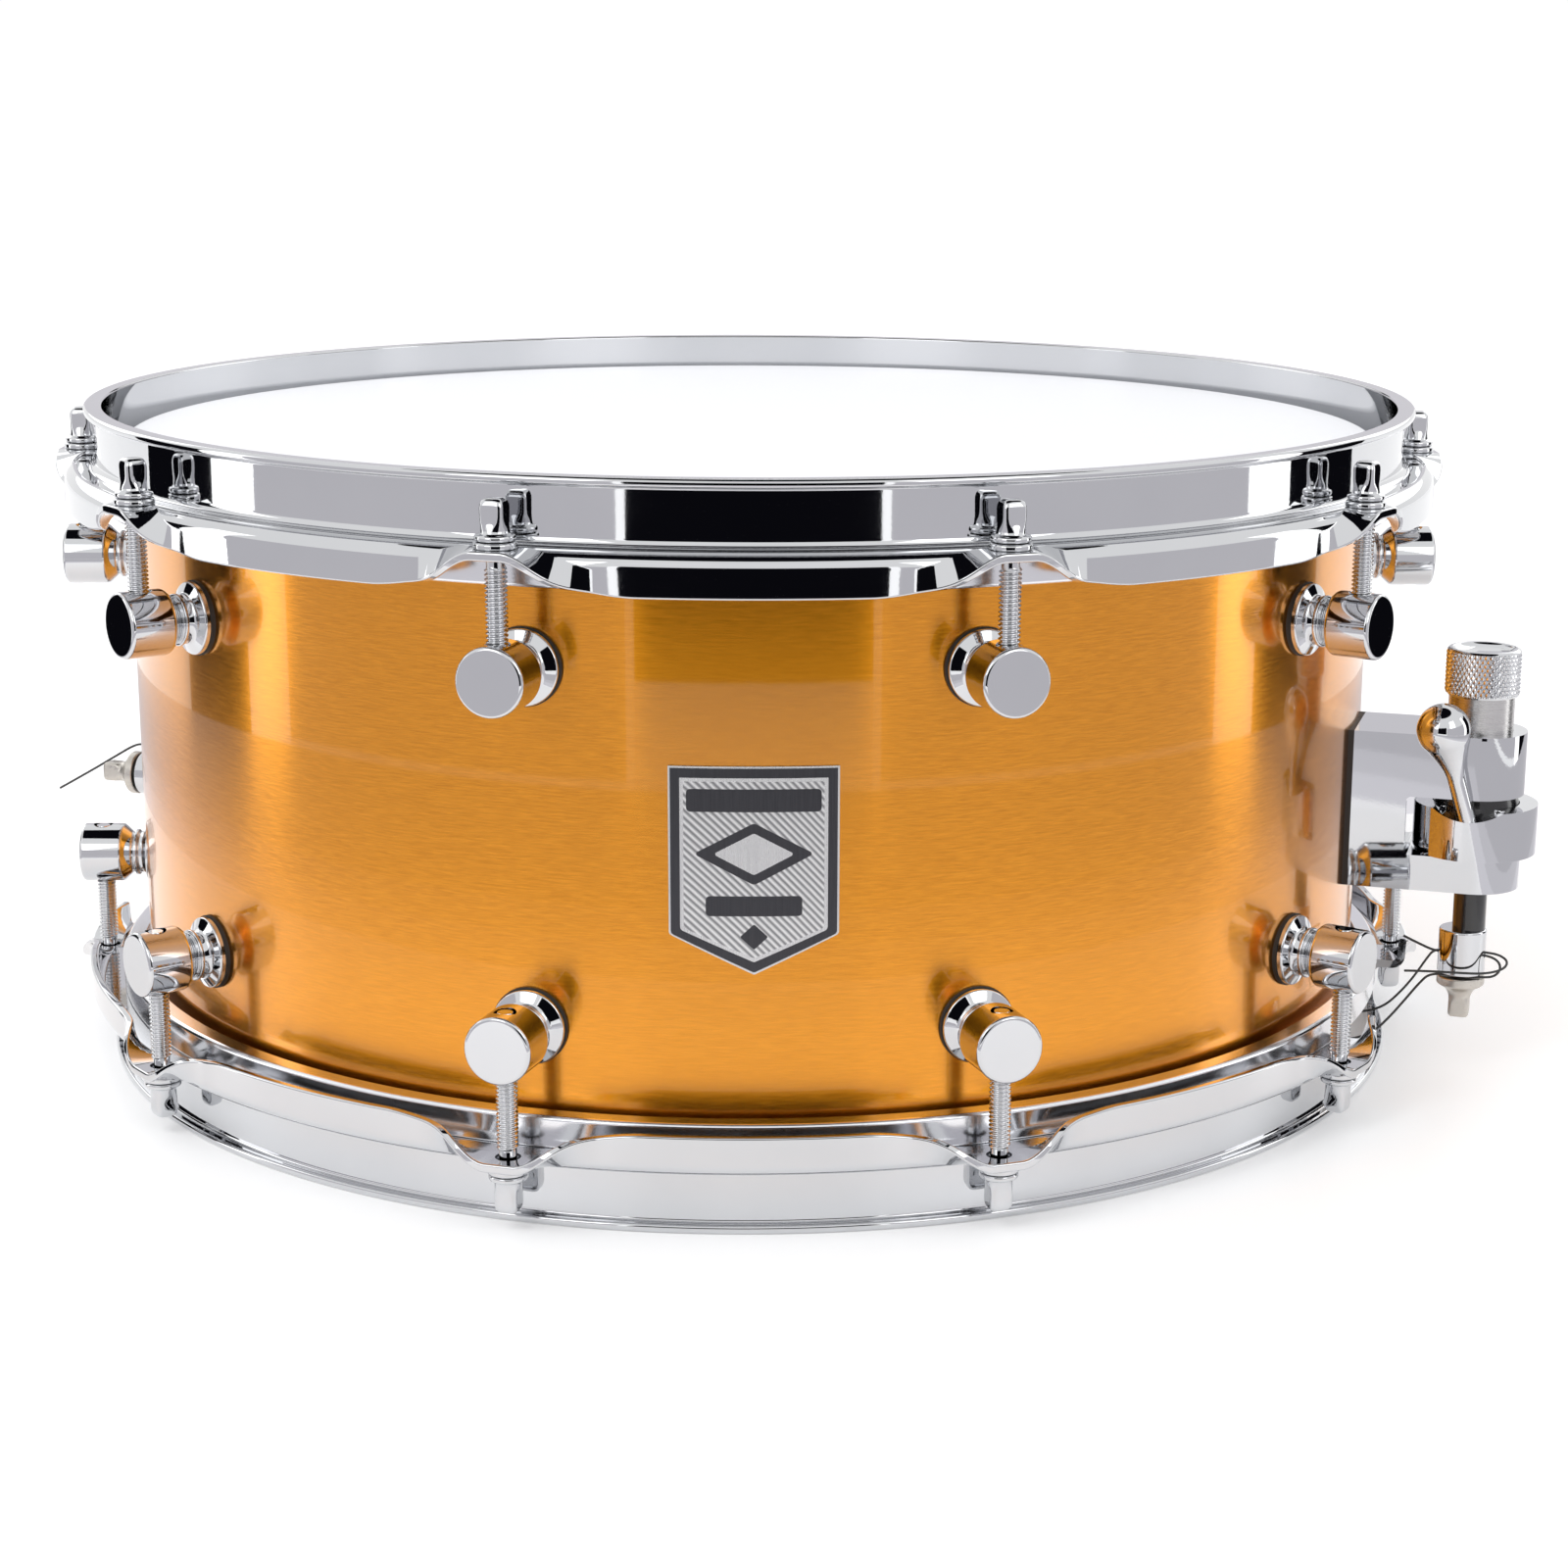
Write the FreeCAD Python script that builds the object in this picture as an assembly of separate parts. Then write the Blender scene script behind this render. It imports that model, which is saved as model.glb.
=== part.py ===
import FreeCAD, Part
import math
import os
from FreeCAD import Vector

# A snare drum, 14 inches across and 6.5 inches deep, with ten lugs a side.
# Lengths are millimetres. In the finished parts Z is up, the origin is on the drum's axis in the plane
# that the lower rim rests on, and the badge faces -Y. While a piece is being made, its heights are
# counted from the drum's middle plane, and a piece with a place round the shell is made in a local
# frame: +X points straight out from the drum's axis through the piece, and Y runs along the shell.
# Azimuths are in degrees from the front, growing towards +X.

# Shell
SHELL_RADIUS = 177.8
SHELL_WALL = 3.0
SHELL_HALF_DEPTH = 82.5
EDGE_BEVEL = 1.3
SNARE_BED_HALF_WIDTH = 50.0
SNARE_BED_DEPTH = 2.0
INSIDE_SHELL = 170.0
PAST_SHELL = 182.0

# Heads
FILM = 0.4
FILM_GAP = 0.05
HEAD_FACE = SHELL_HALF_DEPTH + FILM_GAP + FILM
FLESH_HOOP_INNER = 180.3
FLESH_HOOP_OUTER = 185.6
FLESH_HOOP_LOW = 65.4

# Counterhoops
HOOP_HALF_HEIGHT = 92.5
HOOP_SHEET = 2.3
BAND_OUTER = 186.2
LIP_OUTER = 189.0
LIP_HEIGHT = 2.2
SKIRT_OUTER = 195.0
SKIRT_EDGE = 65.3
EAR_SEAT = 75.9
EAR_OUTER = 200.5
EAR_HALF_WIDTH = 8.5
EAR_HOLE_RADIUS = 3.2
GATE_BOTTOM = 85.0
GATE_HALF_WIDTH = 39.0

# Lugs and tension rods
LUG_COUNT = 10
FIRST_LUG_AZIMUTH = 18.0
LUG_HEIGHT = 45.0
LUG_SEAT = 178.6
LUG_FACE = 199.8
LUG_RADIUS = 8.6
GASKET_RADIUS = 9.8
ROD_CIRCLE = 193.85
ROD_THREAD_RADIUS = 2.75
ROD_SHANK_RADIUS = 2.2
ROD_TIP = 35.6
THREAD_TOP = 71.3
RUNNING_FIT = 0.05
WASHER_RADIUS = 5.25
WASHER_THICKNESS = 1.8
FLANGE_RADIUS = 4.9
HEAD_FLAT = 5.9
HEAD_TOP = 87.7

# Screws through the shell
SCREW_RADIUS = 2.45
SCREW_HOLE_RADIUS = 2.8
LUG_SCREW_TIP = 186.5
BLOCK_SCREW_TIP = 188.5
BLOCK_SCREW_HOLE_END = 189.5

# Throw-off strainer
STRAINER_AZIMUTH = 72.0
STRAINER_SEAT = 178.9
STRAINER_SCREWS = (-2.0, -32.5)
BARREL_CENTRE = 212.0
BARREL_RADIUS = 13.0
BODY_TOP = 7.0
BODY_BOTTOM = -37.3
SLOT_INNER = 194.0
SLOT_TOP = -10.7
SLOT_BOTTOM = -27.3
COLLAR_RADIUS = 17.0
COLLAR_TOP = -13.4
CAM_RADIUS = 12.0
SCOOP_RADIUS = 19.0
SCOOP_FLOOR = -16.0
LEVER_ROOT_RADIUS = 14.5
LEVER_ROOT_TURN = 4.0
LEVER_LEAN_IN = 0.25
LEVER_LEAN_OUT = 0.28
LEVER_BALL_RADIUS = 7.35
LEVER_BALL_HEIGHT = 10.5
KNOB_RADIUS = 10.35
KNOB_LOW = 17.5
KNOB_TOP = 30.0
NECK_RADIUS = 9.05
NECK_LOW = -1.0
PLUNGER_RADIUS = 4.6
PLUNGER_TOP = -2.0
PLUNGER_END = -50.5
CLAMP_CENTRE = 210.5
CLAMP_RADIUS = 6.65
CLAMP_LENGTH = 12.8
CLAMP_SLIT = 0.9
CLAMP_BORE_RADIUS = 2.45
STRING_HOLE_HEIGHT = -57.7
STRING_HOLE_RADIUS = 0.75
KEY_FLAT = 5.8

# Butt clamp
BUTT_AZIMUTH = -108.0
BUTT_SCREWS = (-26.0, -45.0)
BUTT_HALF_WIDTH = 13.0
BUTT_FRONT = 193.0
BUTT_TOP = -22.0
BUTT_BOTTOM = -50.0
BUTT_AXIS = -35.5
BARREL_END = 204.0

# Snare wires and strings
STRING_DIAMETER = 0.7
BEND_SHARE = 0.45
STRAIGHT_TURN = 0.01
PLATE_OUTER = 150.0
PLATE_INNER = 138.0
PLATE_HALF_WIDTH = 21.5
PLATE_TOP = -83.35
PLATE_THICKNESS = 1.65
COIL_COUNT = 20
COIL_PITCH = 2.1
COIL_RADIUS = 0.85
STRING_HEIGHT = -84.0
STRING_SPREAD = 15.0

# Badge and vent
BADGE_HALF_WIDTH = 20.8
BADGE_TOP = 24.9
BADGE_SHOULDER = -14.6
BADGE_POINT = -24.9
BADGE_THICKNESS = 0.8
VENT_AZIMUTH = 180.0
VENT_RADIUS = 6.0

UP = Vector(0, 0, 1)
OUT = Vector(1, 0, 0)
ORIGIN = Vector(0, 0, 0)


# ---- Drawing and placing ----

def outline(corners, place):
    """A closed wire through corners (a, b) or (a, b, radius), each radius rounding its own corner."""
    points = [place(corner[0], corner[1]) for corner in corners]
    stations = []
    for index, point in enumerate(points):
        radius = corners[index][2] if len(corners[index]) > 2 else 0.0
        if radius == 0.0:
            stations.append((point, None, point))
            continue
        stations.append(rounded_corner(points[index - 1], point, points[(index + 1) % len(points)], radius))
    return Part.Wire(joined_edges(stations, closed=True))


def rounded_corner(last, point, following, radius):
    """The start, middle and end of the arc that rounds the corner at point."""
    to_last = (last - point).normalize()
    to_next = (following - point).normalize()
    half_angle = to_last.getAngle(to_next) / 2
    setback = radius / math.tan(half_angle)
    bisector = (to_last + to_next).normalize()
    middle = point + bisector * (radius / math.sin(half_angle) - radius)
    return point + to_last * setback, middle, point + to_next * setback


def joined_edges(stations, closed):
    """Straight edges between the stations, and an arc at each station that has one."""
    edges = []
    for index, (start, middle, end) in enumerate(stations):
        if closed or index > 0:
            last_end = stations[index - 1][2]
            if last_end.distanceToPoint(start) > 1e-6:
                edges.append(Part.LineSegment(last_end, start).toShape())
        if middle is not None:
            edges.append(Part.Arc(start, middle, end).toShape())
    return edges


def turned(corners):
    """A solid turned about the Z axis from corners (radius, height, rounding)."""
    face = Part.Face(outline(corners, lambda radius, height: Vector(radius, 0, height)))
    return face.revolve(ORIGIN, UP, 360)


def turned_outward(corners, height):
    """A solid turned about the local X axis at a height, from corners (distance out, radius, rounding)."""
    face = Part.Face(outline(corners, lambda out, radius: Vector(out, 0, radius)))
    solid = face.revolve(ORIGIN, OUT, 360)
    solid.translate(Vector(0, 0, height))
    return solid


def upright_prism(corners, low, high):
    """Corners (x, y, rounding) drawn out between two heights."""
    face = Part.Face(outline(corners, lambda x, y: Vector(x, y, low)))
    return face.extrude(Vector(0, 0, high - low))


def outward_prism(corners, inner, outer):
    """Corners (y, z, rounding) drawn out along the local X axis."""
    face = Part.Face(outline(corners, lambda y, z: Vector(inner, y, z)))
    return face.extrude(Vector(outer - inner, 0, 0))


def sideways_prism(corners, half_width):
    """Corners (x, z, rounding) drawn out along the local Y axis, the same way to each side."""
    face = Part.Face(outline(corners, lambda x, z: Vector(x, -half_width, z)))
    return face.extrude(Vector(0, 2 * half_width, 0))


def upright_cylinder(x, y, radius, low, high):
    return Part.makeCylinder(radius, high - low, Vector(x, y, low), UP)


def outward_cylinder(radius, inner, outer, height, y=0.0):
    return Part.makeCylinder(radius, outer - inner, Vector(inner, y, height), OUT)


def at_azimuth(shape, azimuth):
    """A copy of a piece made in the local frame, put at its place round the shell."""
    placed = shape.copy()
    placed.rotate(ORIGIN, UP, azimuth - 90)
    return placed


def upside_down(shape):
    """The lower copy of a piece of the upper half."""
    return shape.mirror(ORIGIN, UP)


def save(name, shape):
    """Lift a piece from the middle plane to its height above the lower rim and write it."""
    placed = shape.copy()
    placed.translate(Vector(0, 0, HOOP_HALF_HEIGHT))
    placed.exportStep("parts/" + name + ".step")


def save_group(name, shapes):
    save(name, Part.makeCompound(shapes))


def lug_azimuths():
    return [FIRST_LUG_AZIMUTH + index * 360.0 / LUG_COUNT for index in range(LUG_COUNT)]


# ---- Shell ----

def shell():
    """The metal cylinder, bevelled to a bearing edge at each end, with snare beds in the lower edge."""
    inner = SHELL_RADIUS - SHELL_WALL
    top = SHELL_HALF_DEPTH
    land_outer = SHELL_RADIUS - EDGE_BEVEL
    land_inner = inner + EDGE_BEVEL
    tube = turned([
        (SHELL_RADIUS, -top + EDGE_BEVEL), (SHELL_RADIUS, top - EDGE_BEVEL),
        (land_outer, top), (land_inner, top),
        (inner, top - EDGE_BEVEL), (inner, -top + EDGE_BEVEL),
        (land_inner, -top), (land_outer, -top),
    ])
    cuts = []
    for azimuth in lug_azimuths():
        for height in (LUG_HEIGHT, -LUG_HEIGHT):
            cuts.append(at_azimuth(shell_hole(SCREW_HOLE_RADIUS, height), azimuth))
    for azimuth, heights in ((STRAINER_AZIMUTH, STRAINER_SCREWS), (BUTT_AZIMUTH, BUTT_SCREWS)):
        cuts.append(at_azimuth(snare_bed(), azimuth))
        for height in heights:
            cuts.append(at_azimuth(shell_hole(SCREW_HOLE_RADIUS, height), azimuth))
    cuts.append(at_azimuth(shell_hole(VENT_RADIUS, 0), VENT_AZIMUTH))
    return tube.cut(cuts)


def shell_hole(radius, height):
    """A cutter that goes through the shell's wall at a height."""
    return outward_cylinder(radius, INSIDE_SHELL, PAST_SHELL, height)


def snare_bed():
    """The shallow dip that lets the snare wires lie flat on the lower head."""
    edge = -SHELL_HALF_DEPTH - 0.1
    ends = [Vector(165, side * SNARE_BED_HALF_WIDTH, edge) for side in (-1, 1)]
    arc = Part.Arc(ends[0], Vector(165, 0, edge + SNARE_BED_DEPTH), ends[1]).toShape()
    face = Part.Face(Part.Wire([arc, Part.LineSegment(ends[1], ends[0]).toShape()]))
    return face.extrude(Vector(20, 0, 0))


def vent_grommet():
    """A turned eyelet that lines the air hole."""
    return turned_outward([
        (173.6, 4.2), (173.6, 8.0, 0.3), (174.5, 8.0), (174.5, VENT_RADIUS),
        (178.0, VENT_RADIUS), (178.0, 8.5), (179.0, 8.5, 0.6), (179.0, 4.2, 0.4),
    ], 0)


def badge():
    """A shield-shaped plate curved to the shell."""
    shield = outward_prism([
        (-BADGE_HALF_WIDTH, BADGE_TOP), (BADGE_HALF_WIDTH, BADGE_TOP),
        (BADGE_HALF_WIDTH, BADGE_SHOULDER, 8), (0, BADGE_POINT, 0.8), (-BADGE_HALF_WIDTH, BADGE_SHOULDER, 8),
    ], 170, 185)
    outer = upright_cylinder(0, 0, SHELL_RADIUS + BADGE_THICKNESS, -30, 30)
    inner = upright_cylinder(0, 0, SHELL_RADIUS, -30, 30)
    return shield.common(outer).cut(inner)


# ---- Heads and counterhoops, made as the upper ones ----

def head_film():
    """The head's film: a flat face, a collar over the bearing edge, and an edge held in the flesh hoop."""
    face_under = HEAD_FACE - FILM
    return turned([
        (0, HEAD_FACE), (177.7, HEAD_FACE, 1.6), (181.5, 74.6, 2.0), (181.5, 69.2),
        (181.1, 69.2), (181.1, 74.5, 1.6), (177.5, face_under, 1.2), (0, face_under),
    ])


def flesh_hoop():
    """The metal ring that holds the film, with the groove that the film's edge sits in."""
    top = EAR_SEAT - HOOP_SHEET
    return turned([
        (FLESH_HOOP_INNER, FLESH_HOOP_LOW, 0.4), (FLESH_HOOP_OUTER, FLESH_HOOP_LOW, 1.2),
        (FLESH_HOOP_OUTER, top, 0.5), (181.5, top), (181.5, 69.2), (181.1, 69.2),
        (181.1, top), (FLESH_HOOP_INNER, top),
    ])


def counterhoop(openings=()):
    """A triple-flanged hoop: a rolled lip, an upright band, and a skirt that lifts to an ear at each rod."""
    band_inner = BAND_OUTER - HOOP_SHEET
    skirt_inner = SKIRT_OUTER - HOOP_SHEET
    ledge_under = EAR_SEAT - HOOP_SHEET
    lip_low = HOOP_HALF_HEIGHT - LIP_HEIGHT
    ring = turned([
        (band_inner, HOOP_HALF_HEIGHT, 0.5), (LIP_OUTER, HOOP_HALF_HEIGHT, 1.0), (LIP_OUTER, lip_low, 0.9),
        (BAND_OUTER, lip_low, 0.6), (BAND_OUTER, EAR_SEAT, 2.0), (SKIRT_OUTER, EAR_SEAT, HOOP_SHEET),
        (SKIRT_OUTER, SKIRT_EDGE, 0.5), (skirt_inner, SKIRT_EDGE, 0.5), (skirt_inner, ledge_under, 0.6),
        (band_inner, ledge_under),
    ])
    scallop = outward_prism([
        (-34, 60), (-34, SKIRT_EDGE, 6), (-17, 67.6, 14), (-EAR_HALF_WIDTH, ledge_under, 3),
        (EAR_HALF_WIDTH, ledge_under, 3), (17, 67.6, 14), (34, SKIRT_EDGE, 6), (34, 60),
    ], 190, 203)
    ear = upright_prism([
        (189, -EAR_HALF_WIDTH - 3), (196, -EAR_HALF_WIDTH - 1.5, 3), (EAR_OUTER, -EAR_HALF_WIDTH + 1.5, 3),
        (EAR_OUTER, EAR_HALF_WIDTH - 1.5, 3), (196, EAR_HALF_WIDTH + 1.5, 3), (189, EAR_HALF_WIDTH + 3),
    ], ledge_under, EAR_SEAT)
    hole = upright_cylinder(ROD_CIRCLE, 0, EAR_HOLE_RADIUS, ledge_under - 1, EAR_SEAT + 1)
    azimuths = lug_azimuths()
    ring = ring.cut([at_azimuth(scallop, azimuth) for azimuth in azimuths] + list(openings))
    ring = ring.fuse([at_azimuth(ear, azimuth) for azimuth in azimuths])
    return ring.cut([at_azimuth(hole, azimuth) for azimuth in azimuths])


def snare_gate():
    """The opening that the snare strings pass through, as it stands in an upper hoop."""
    return outward_prism([
        (-GATE_HALF_WIDTH, 60), (-GATE_HALF_WIDTH, GATE_BOTTOM, 3),
        (GATE_HALF_WIDTH, GATE_BOTTOM, 3), (GATE_HALF_WIDTH, 60),
    ], 180, 210)


def snare_side_hoop():
    gates = [at_azimuth(snare_gate(), azimuth) for azimuth in (STRAINER_AZIMUTH, BUTT_AZIMUTH)]
    return upside_down(counterhoop(gates))


# ---- Lugs, screws, rods and washers, made as the upper ones ----

def lug():
    """A round post with a trumpet foot, a beaded neck, a bored barrel and an eased face."""
    post = turned_outward([
        (LUG_SEAT, 0), (LUG_SEAT, 9.5), (180.1, 9.5, 0.5), (181.4, 6.3, 1.2), (183.2, 6.0), (183.2, 6.8, 0.3),
        (184.2, 6.8, 0.3), (184.2, 6.2), (185.0, 6.2), (187.6, LUG_RADIUS, 0.8), (196.8, LUG_RADIUS, 1.2),
        (LUG_FACE, 6.9, 0.6), (LUG_FACE, 0),
    ], LUG_HEIGHT)
    bore = upright_cylinder(ROD_CIRCLE, 0, ROD_THREAD_RADIUS + RUNNING_FIT, LUG_HEIGHT - 10, LUG_HEIGHT + 10)
    screw_hole = outward_cylinder(SCREW_RADIUS, LUG_SEAT - 1, 187.5, LUG_HEIGHT)
    return post.cut([bore, screw_hole])


def lug_gasket():
    """The thin pad between a lug's foot and the curved shell."""
    pad = outward_cylinder(GASKET_RADIUS, INSIDE_SHELL, LUG_SEAT, LUG_HEIGHT)
    return pad.cut([upright_cylinder(0, 0, SHELL_RADIUS, 20, 70), shell_hole(SCREW_HOLE_RADIUS, LUG_HEIGHT)])


def fixing_screw(tip, height):
    """A pan-head screw with its washer, driven outwards from inside the shell."""
    return turned_outward([
        (170.6, 0), (170.6, 4.2, 1.0), (173.6, 4.2), (173.6, 6.0), (174.65, 6.0),
        (174.65, SCREW_RADIUS), (tip, SCREW_RADIUS, 0.5), (tip, 0),
    ], height)


def tension_rod():
    """A tension rod: thread, smooth shank, round flange and square key head."""
    seat = EAR_SEAT + WASHER_THICKNESS + RUNNING_FIT
    shaft = turned([
        (0, ROD_TIP), (1.9, ROD_TIP), (ROD_THREAD_RADIUS, ROD_TIP + 0.9), (ROD_THREAD_RADIUS, THREAD_TOP),
        (ROD_SHANK_RADIUS, THREAD_TOP + 0.6), (ROD_SHANK_RADIUS, seat), (FLANGE_RADIUS, seat, 0.3),
        (FLANGE_RADIUS, seat + 1.3, 0.5), (3.7, seat + 1.6), (3.3, seat + 2.6), (0, seat + 2.6),
    ])
    half = HEAD_FLAT / 2
    square = upright_prism([(-half, -half, 0.7), (half, -half, 0.7), (half, half, 0.7), (-half, half, 0.7)],
                           seat + 1.5, HEAD_TOP)
    easing = turned([(0, seat), (4.0, seat), (4.0, HEAD_TOP - 1.9), (3.0, HEAD_TOP, 1.2), (0, HEAD_TOP)])
    rod = shaft.fuse(square.common(easing)).removeSplitter()
    rod.translate(Vector(ROD_CIRCLE, 0, 0))
    return rod


def rod_washer():
    top = EAR_SEAT + WASHER_THICKNESS
    washer = turned([(2.6, EAR_SEAT), (WASHER_RADIUS, EAR_SEAT, 0.3), (WASHER_RADIUS, top, 0.3), (2.6, top)])
    washer.translate(Vector(ROD_CIRCLE, 0, 0))
    return washer


# ---- Throw-off strainer, made in its local frame; the front of the drum is on its -Y side ----

def strainer_body():
    """A block that ends in a half-round barrel, slotted for the lever's collar and bored for the plunger."""
    end = BARREL_CENTRE + BARREL_RADIUS
    block = upright_prism([
        (STRAINER_SEAT, -BARREL_RADIUS), (end, -BARREL_RADIUS, BARREL_RADIUS),
        (end, BARREL_RADIUS, BARREL_RADIUS), (STRAINER_SEAT, BARREL_RADIUS),
    ], BODY_BOTTOM, BODY_TOP)
    slot = sideways_prism([
        (SLOT_INNER, SLOT_BOTTOM, 1), (240, SLOT_BOTTOM), (240, SLOT_TOP), (SLOT_INNER, SLOT_TOP, 1),
    ], 30)
    neck_bore = upright_cylinder(BARREL_CENTRE, 0, NECK_RADIUS + RUNNING_FIT, -9.0, BODY_TOP + 1)
    plunger_bore = upright_cylinder(BARREL_CENTRE, 0, PLUNGER_RADIUS + RUNNING_FIT, BODY_BOTTOM - 1, 0)
    corner = Vector(BARREL_CENTRE + 1.6, -BARREL_RADIUS - 0.2, BODY_TOP - 0.8)
    index_mark = Part.makeBox(1.4, 2.2, 0.8, corner)
    holes = block_screw_holes(STRAINER_SCREWS)
    return block.cut([slot, neck_bore, plunger_bore, index_mark] + holes)


def block_screw_holes(heights):
    """Cutters for the tapped holes in the back of a block on the shell."""
    return [outward_cylinder(SCREW_RADIUS, INSIDE_SHELL, BLOCK_SCREW_HOLE_END, height) for height in heights]


def curved_gasket(seat, half_width, low, high, screws):
    """The pad between a flat-backed block and the curved shell."""
    pad = outward_prism([(-half_width, low), (half_width, low), (half_width, high), (-half_width, high)],
                        170, seat)
    holes = [shell_hole(SCREW_HOLE_RADIUS, height) for height in screws]
    return pad.cut([upright_cylinder(0, 0, SHELL_RADIUS, low - 5, high + 5)] + holes)


def lever_frame(shape):
    """Turn a piece made at the barrel's -Y side to the lever's own side of the barrel."""
    placed = shape.copy()
    placed.rotate(Vector(BARREL_CENTRE, 0, 0), UP, -LEVER_ROOT_TURN)
    return placed


def lever_axis():
    """The lever's root and the centre of its ball."""
    root = Vector(BARREL_CENTRE, -LEVER_ROOT_RADIUS, SCOOP_FLOOR)
    rise = LEVER_BALL_HEIGHT - SCOOP_FLOOR
    return root, root + Vector(-LEVER_LEAN_IN * rise, -LEVER_LEAN_OUT * rise, rise)


def lever_handle():
    """A slim stem that swells into a ball."""
    root, ball = lever_axis()
    length = (ball - root).Length
    stem = 2.1
    tail = 6.0
    radius = LEVER_BALL_RADIUS
    handle = turned([
        (0, -tail), (stem, -tail), (stem, 0), (stem + 0.25, length - 8.6, 9),
        (radius, length - 2.72, radius - 0.01), (radius, length + radius, radius - 0.01), (0, length + radius),
    ])
    handle.Placement = FreeCAD.Placement(root, FreeCAD.Rotation(UP, ball - root))
    return lever_frame(handle)


def collar_screw():
    """The small screw that locks the collar to its cam."""
    screw = Part.makeCylinder(1.25, 4.6, Vector(BARREL_CENTRE, 0, -24.8), Vector(0, -1, 0))
    screw.translate(Vector(0, -CAM_RADIUS - 0.2, 0))
    screw.rotate(Vector(BARREL_CENTRE, 0, 0), UP, -16)
    return screw


def lever_collar():
    """The ring that carries the lever, scooped where the lever stands."""
    bottom = SLOT_BOTTOM + 0.1
    ring = turned([
        (CAM_RADIUS, bottom), (COLLAR_RADIUS, bottom, 0.4),
        (COLLAR_RADIUS, COLLAR_TOP, 0.8), (CAM_RADIUS, COLLAR_TOP),
    ])
    ring.translate(Vector(BARREL_CENTRE, 0, 0))
    scoop_centre = Vector(BARREL_CENTRE, -10, SCOOP_FLOOR + SCOOP_RADIUS)
    scoop = Part.makeCylinder(SCOOP_RADIUS, 12, scoop_centre, Vector(0, -1, 0))
    return ring.cut([lever_frame(scoop), lever_handle(), collar_screw()])


def collar_cam():
    """The dark hub inside the collar that works the plunger."""
    hub = turned([
        (5.0, SLOT_BOTTOM + 0.1), (CAM_RADIUS, SLOT_BOTTOM + 0.1),
        (CAM_RADIUS, SLOT_TOP - 0.05), (5.0, SLOT_TOP - 0.05),
    ])
    hub.translate(Vector(BARREL_CENTRE, 0, 0))
    return hub.cut(lever_handle())


def tension_knob():
    """The knurled knob with its long plain neck, bored for the plunger's threaded top."""
    knob = turned([
        (0, 15.5), (2.55, 15.5), (2.55, NECK_LOW), (NECK_RADIUS, NECK_LOW, 0.4),
        (NECK_RADIUS, KNOB_LOW - 0.6), (KNOB_RADIUS - 0.6, KNOB_LOW - 0.6),
        (KNOB_RADIUS, KNOB_LOW), (KNOB_RADIUS, KNOB_TOP, 0.6),
        (KNOB_RADIUS - 1.2, KNOB_TOP, 0.3), (KNOB_RADIUS - 2.4, KNOB_TOP - 0.9), (0, KNOB_TOP - 1.2),
    ])
    knob.translate(Vector(BARREL_CENTRE, 0, 0))
    return knob


def plunger():
    """The black rod that slides through the strainer, with the thread for the knob on its upper end."""
    rod = turned([
        (0, PLUNGER_END), (PLUNGER_RADIUS, PLUNGER_END), (PLUNGER_RADIUS, PLUNGER_TOP, 0.4),
        (2.5, PLUNGER_TOP), (2.5, 14.5, 0.5), (0, 14.5),
    ])
    rod.translate(Vector(BARREL_CENTRE, 0, 0))
    return rod


def snare_clamp():
    """The barrel below the plunger that grips the snare strings."""
    bottom = PLUNGER_END - CLAMP_LENGTH
    barrel = turned([
        (0, bottom), (CLAMP_RADIUS, bottom, 0.3), (CLAMP_RADIUS, PLUNGER_END, 0.5), (0, PLUNGER_END),
    ])
    barrel.translate(Vector(CLAMP_CENTRE, 0, 0))
    screw_bore = upright_cylinder(CLAMP_CENTRE, 0, CLAMP_BORE_RADIUS, bottom - 1, bottom + 3.9)
    holes = [outward_cylinder(STRING_HOLE_RADIUS, 200, 220, STRING_HOLE_HEIGHT, y) for y in (-1.5, 1.5)]
    return barrel.cut([screw_bore] + holes)


def key_screw():
    """A drum-key clamp screw standing on its head, the face of its flange at height 0 and its shank above."""
    body = turned([
        (0, 3.7), (2.4, 3.7), (2.4, 0), (6.7, 0, 0.3), (6.7, -2.6, 0.4),
        (5.2, -3.6, 0.8), (3.2, -5.0, 1.5), (2.6, -6.4), (0, -6.4),
    ])
    half = KEY_FLAT / 2
    square = upright_prism([(-half, -half, 0.8), (half, -half, 0.8), (half, half, 0.8), (-half, half, 0.8)],
                           -12.2, -4.6)
    easing = turned([(0, -12.2), (3.0, -12.2, 1.0), (3.9, -10.8), (3.9, -4), (0, -4)])
    return body.fuse(square.common(easing)).removeSplitter()


def clamp_screw():
    screw = key_screw()
    screw.translate(Vector(CLAMP_CENTRE, 0, PLUNGER_END - CLAMP_LENGTH - CLAMP_SLIT))
    return screw


# ---- Butt clamp, made in its local frame ----

def butt_block():
    """A small block on the shell with a barrel that grips the far ends of the snare strings."""
    block = upright_prism([
        (STRAINER_SEAT, -BUTT_HALF_WIDTH), (BUTT_FRONT, -BUTT_HALF_WIDTH, 4),
        (BUTT_FRONT, BUTT_HALF_WIDTH, 4), (STRAINER_SEAT, BUTT_HALF_WIDTH),
    ], BUTT_BOTTOM, BUTT_TOP)
    barrel = outward_cylinder(CLAMP_RADIUS, BUTT_FRONT - 4, BARREL_END, BUTT_AXIS)
    screw_bore = outward_cylinder(CLAMP_BORE_RADIUS, 200.1, BARREL_END + 1, BUTT_AXIS)
    string_hole = upright_cylinder(197.5, 0, STRING_HOLE_RADIUS, BUTT_AXIS - 10, BUTT_AXIS + 10)
    holes = block_screw_holes(BUTT_SCREWS)
    return block.fuse(barrel).cut([screw_bore, string_hole] + holes)


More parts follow.
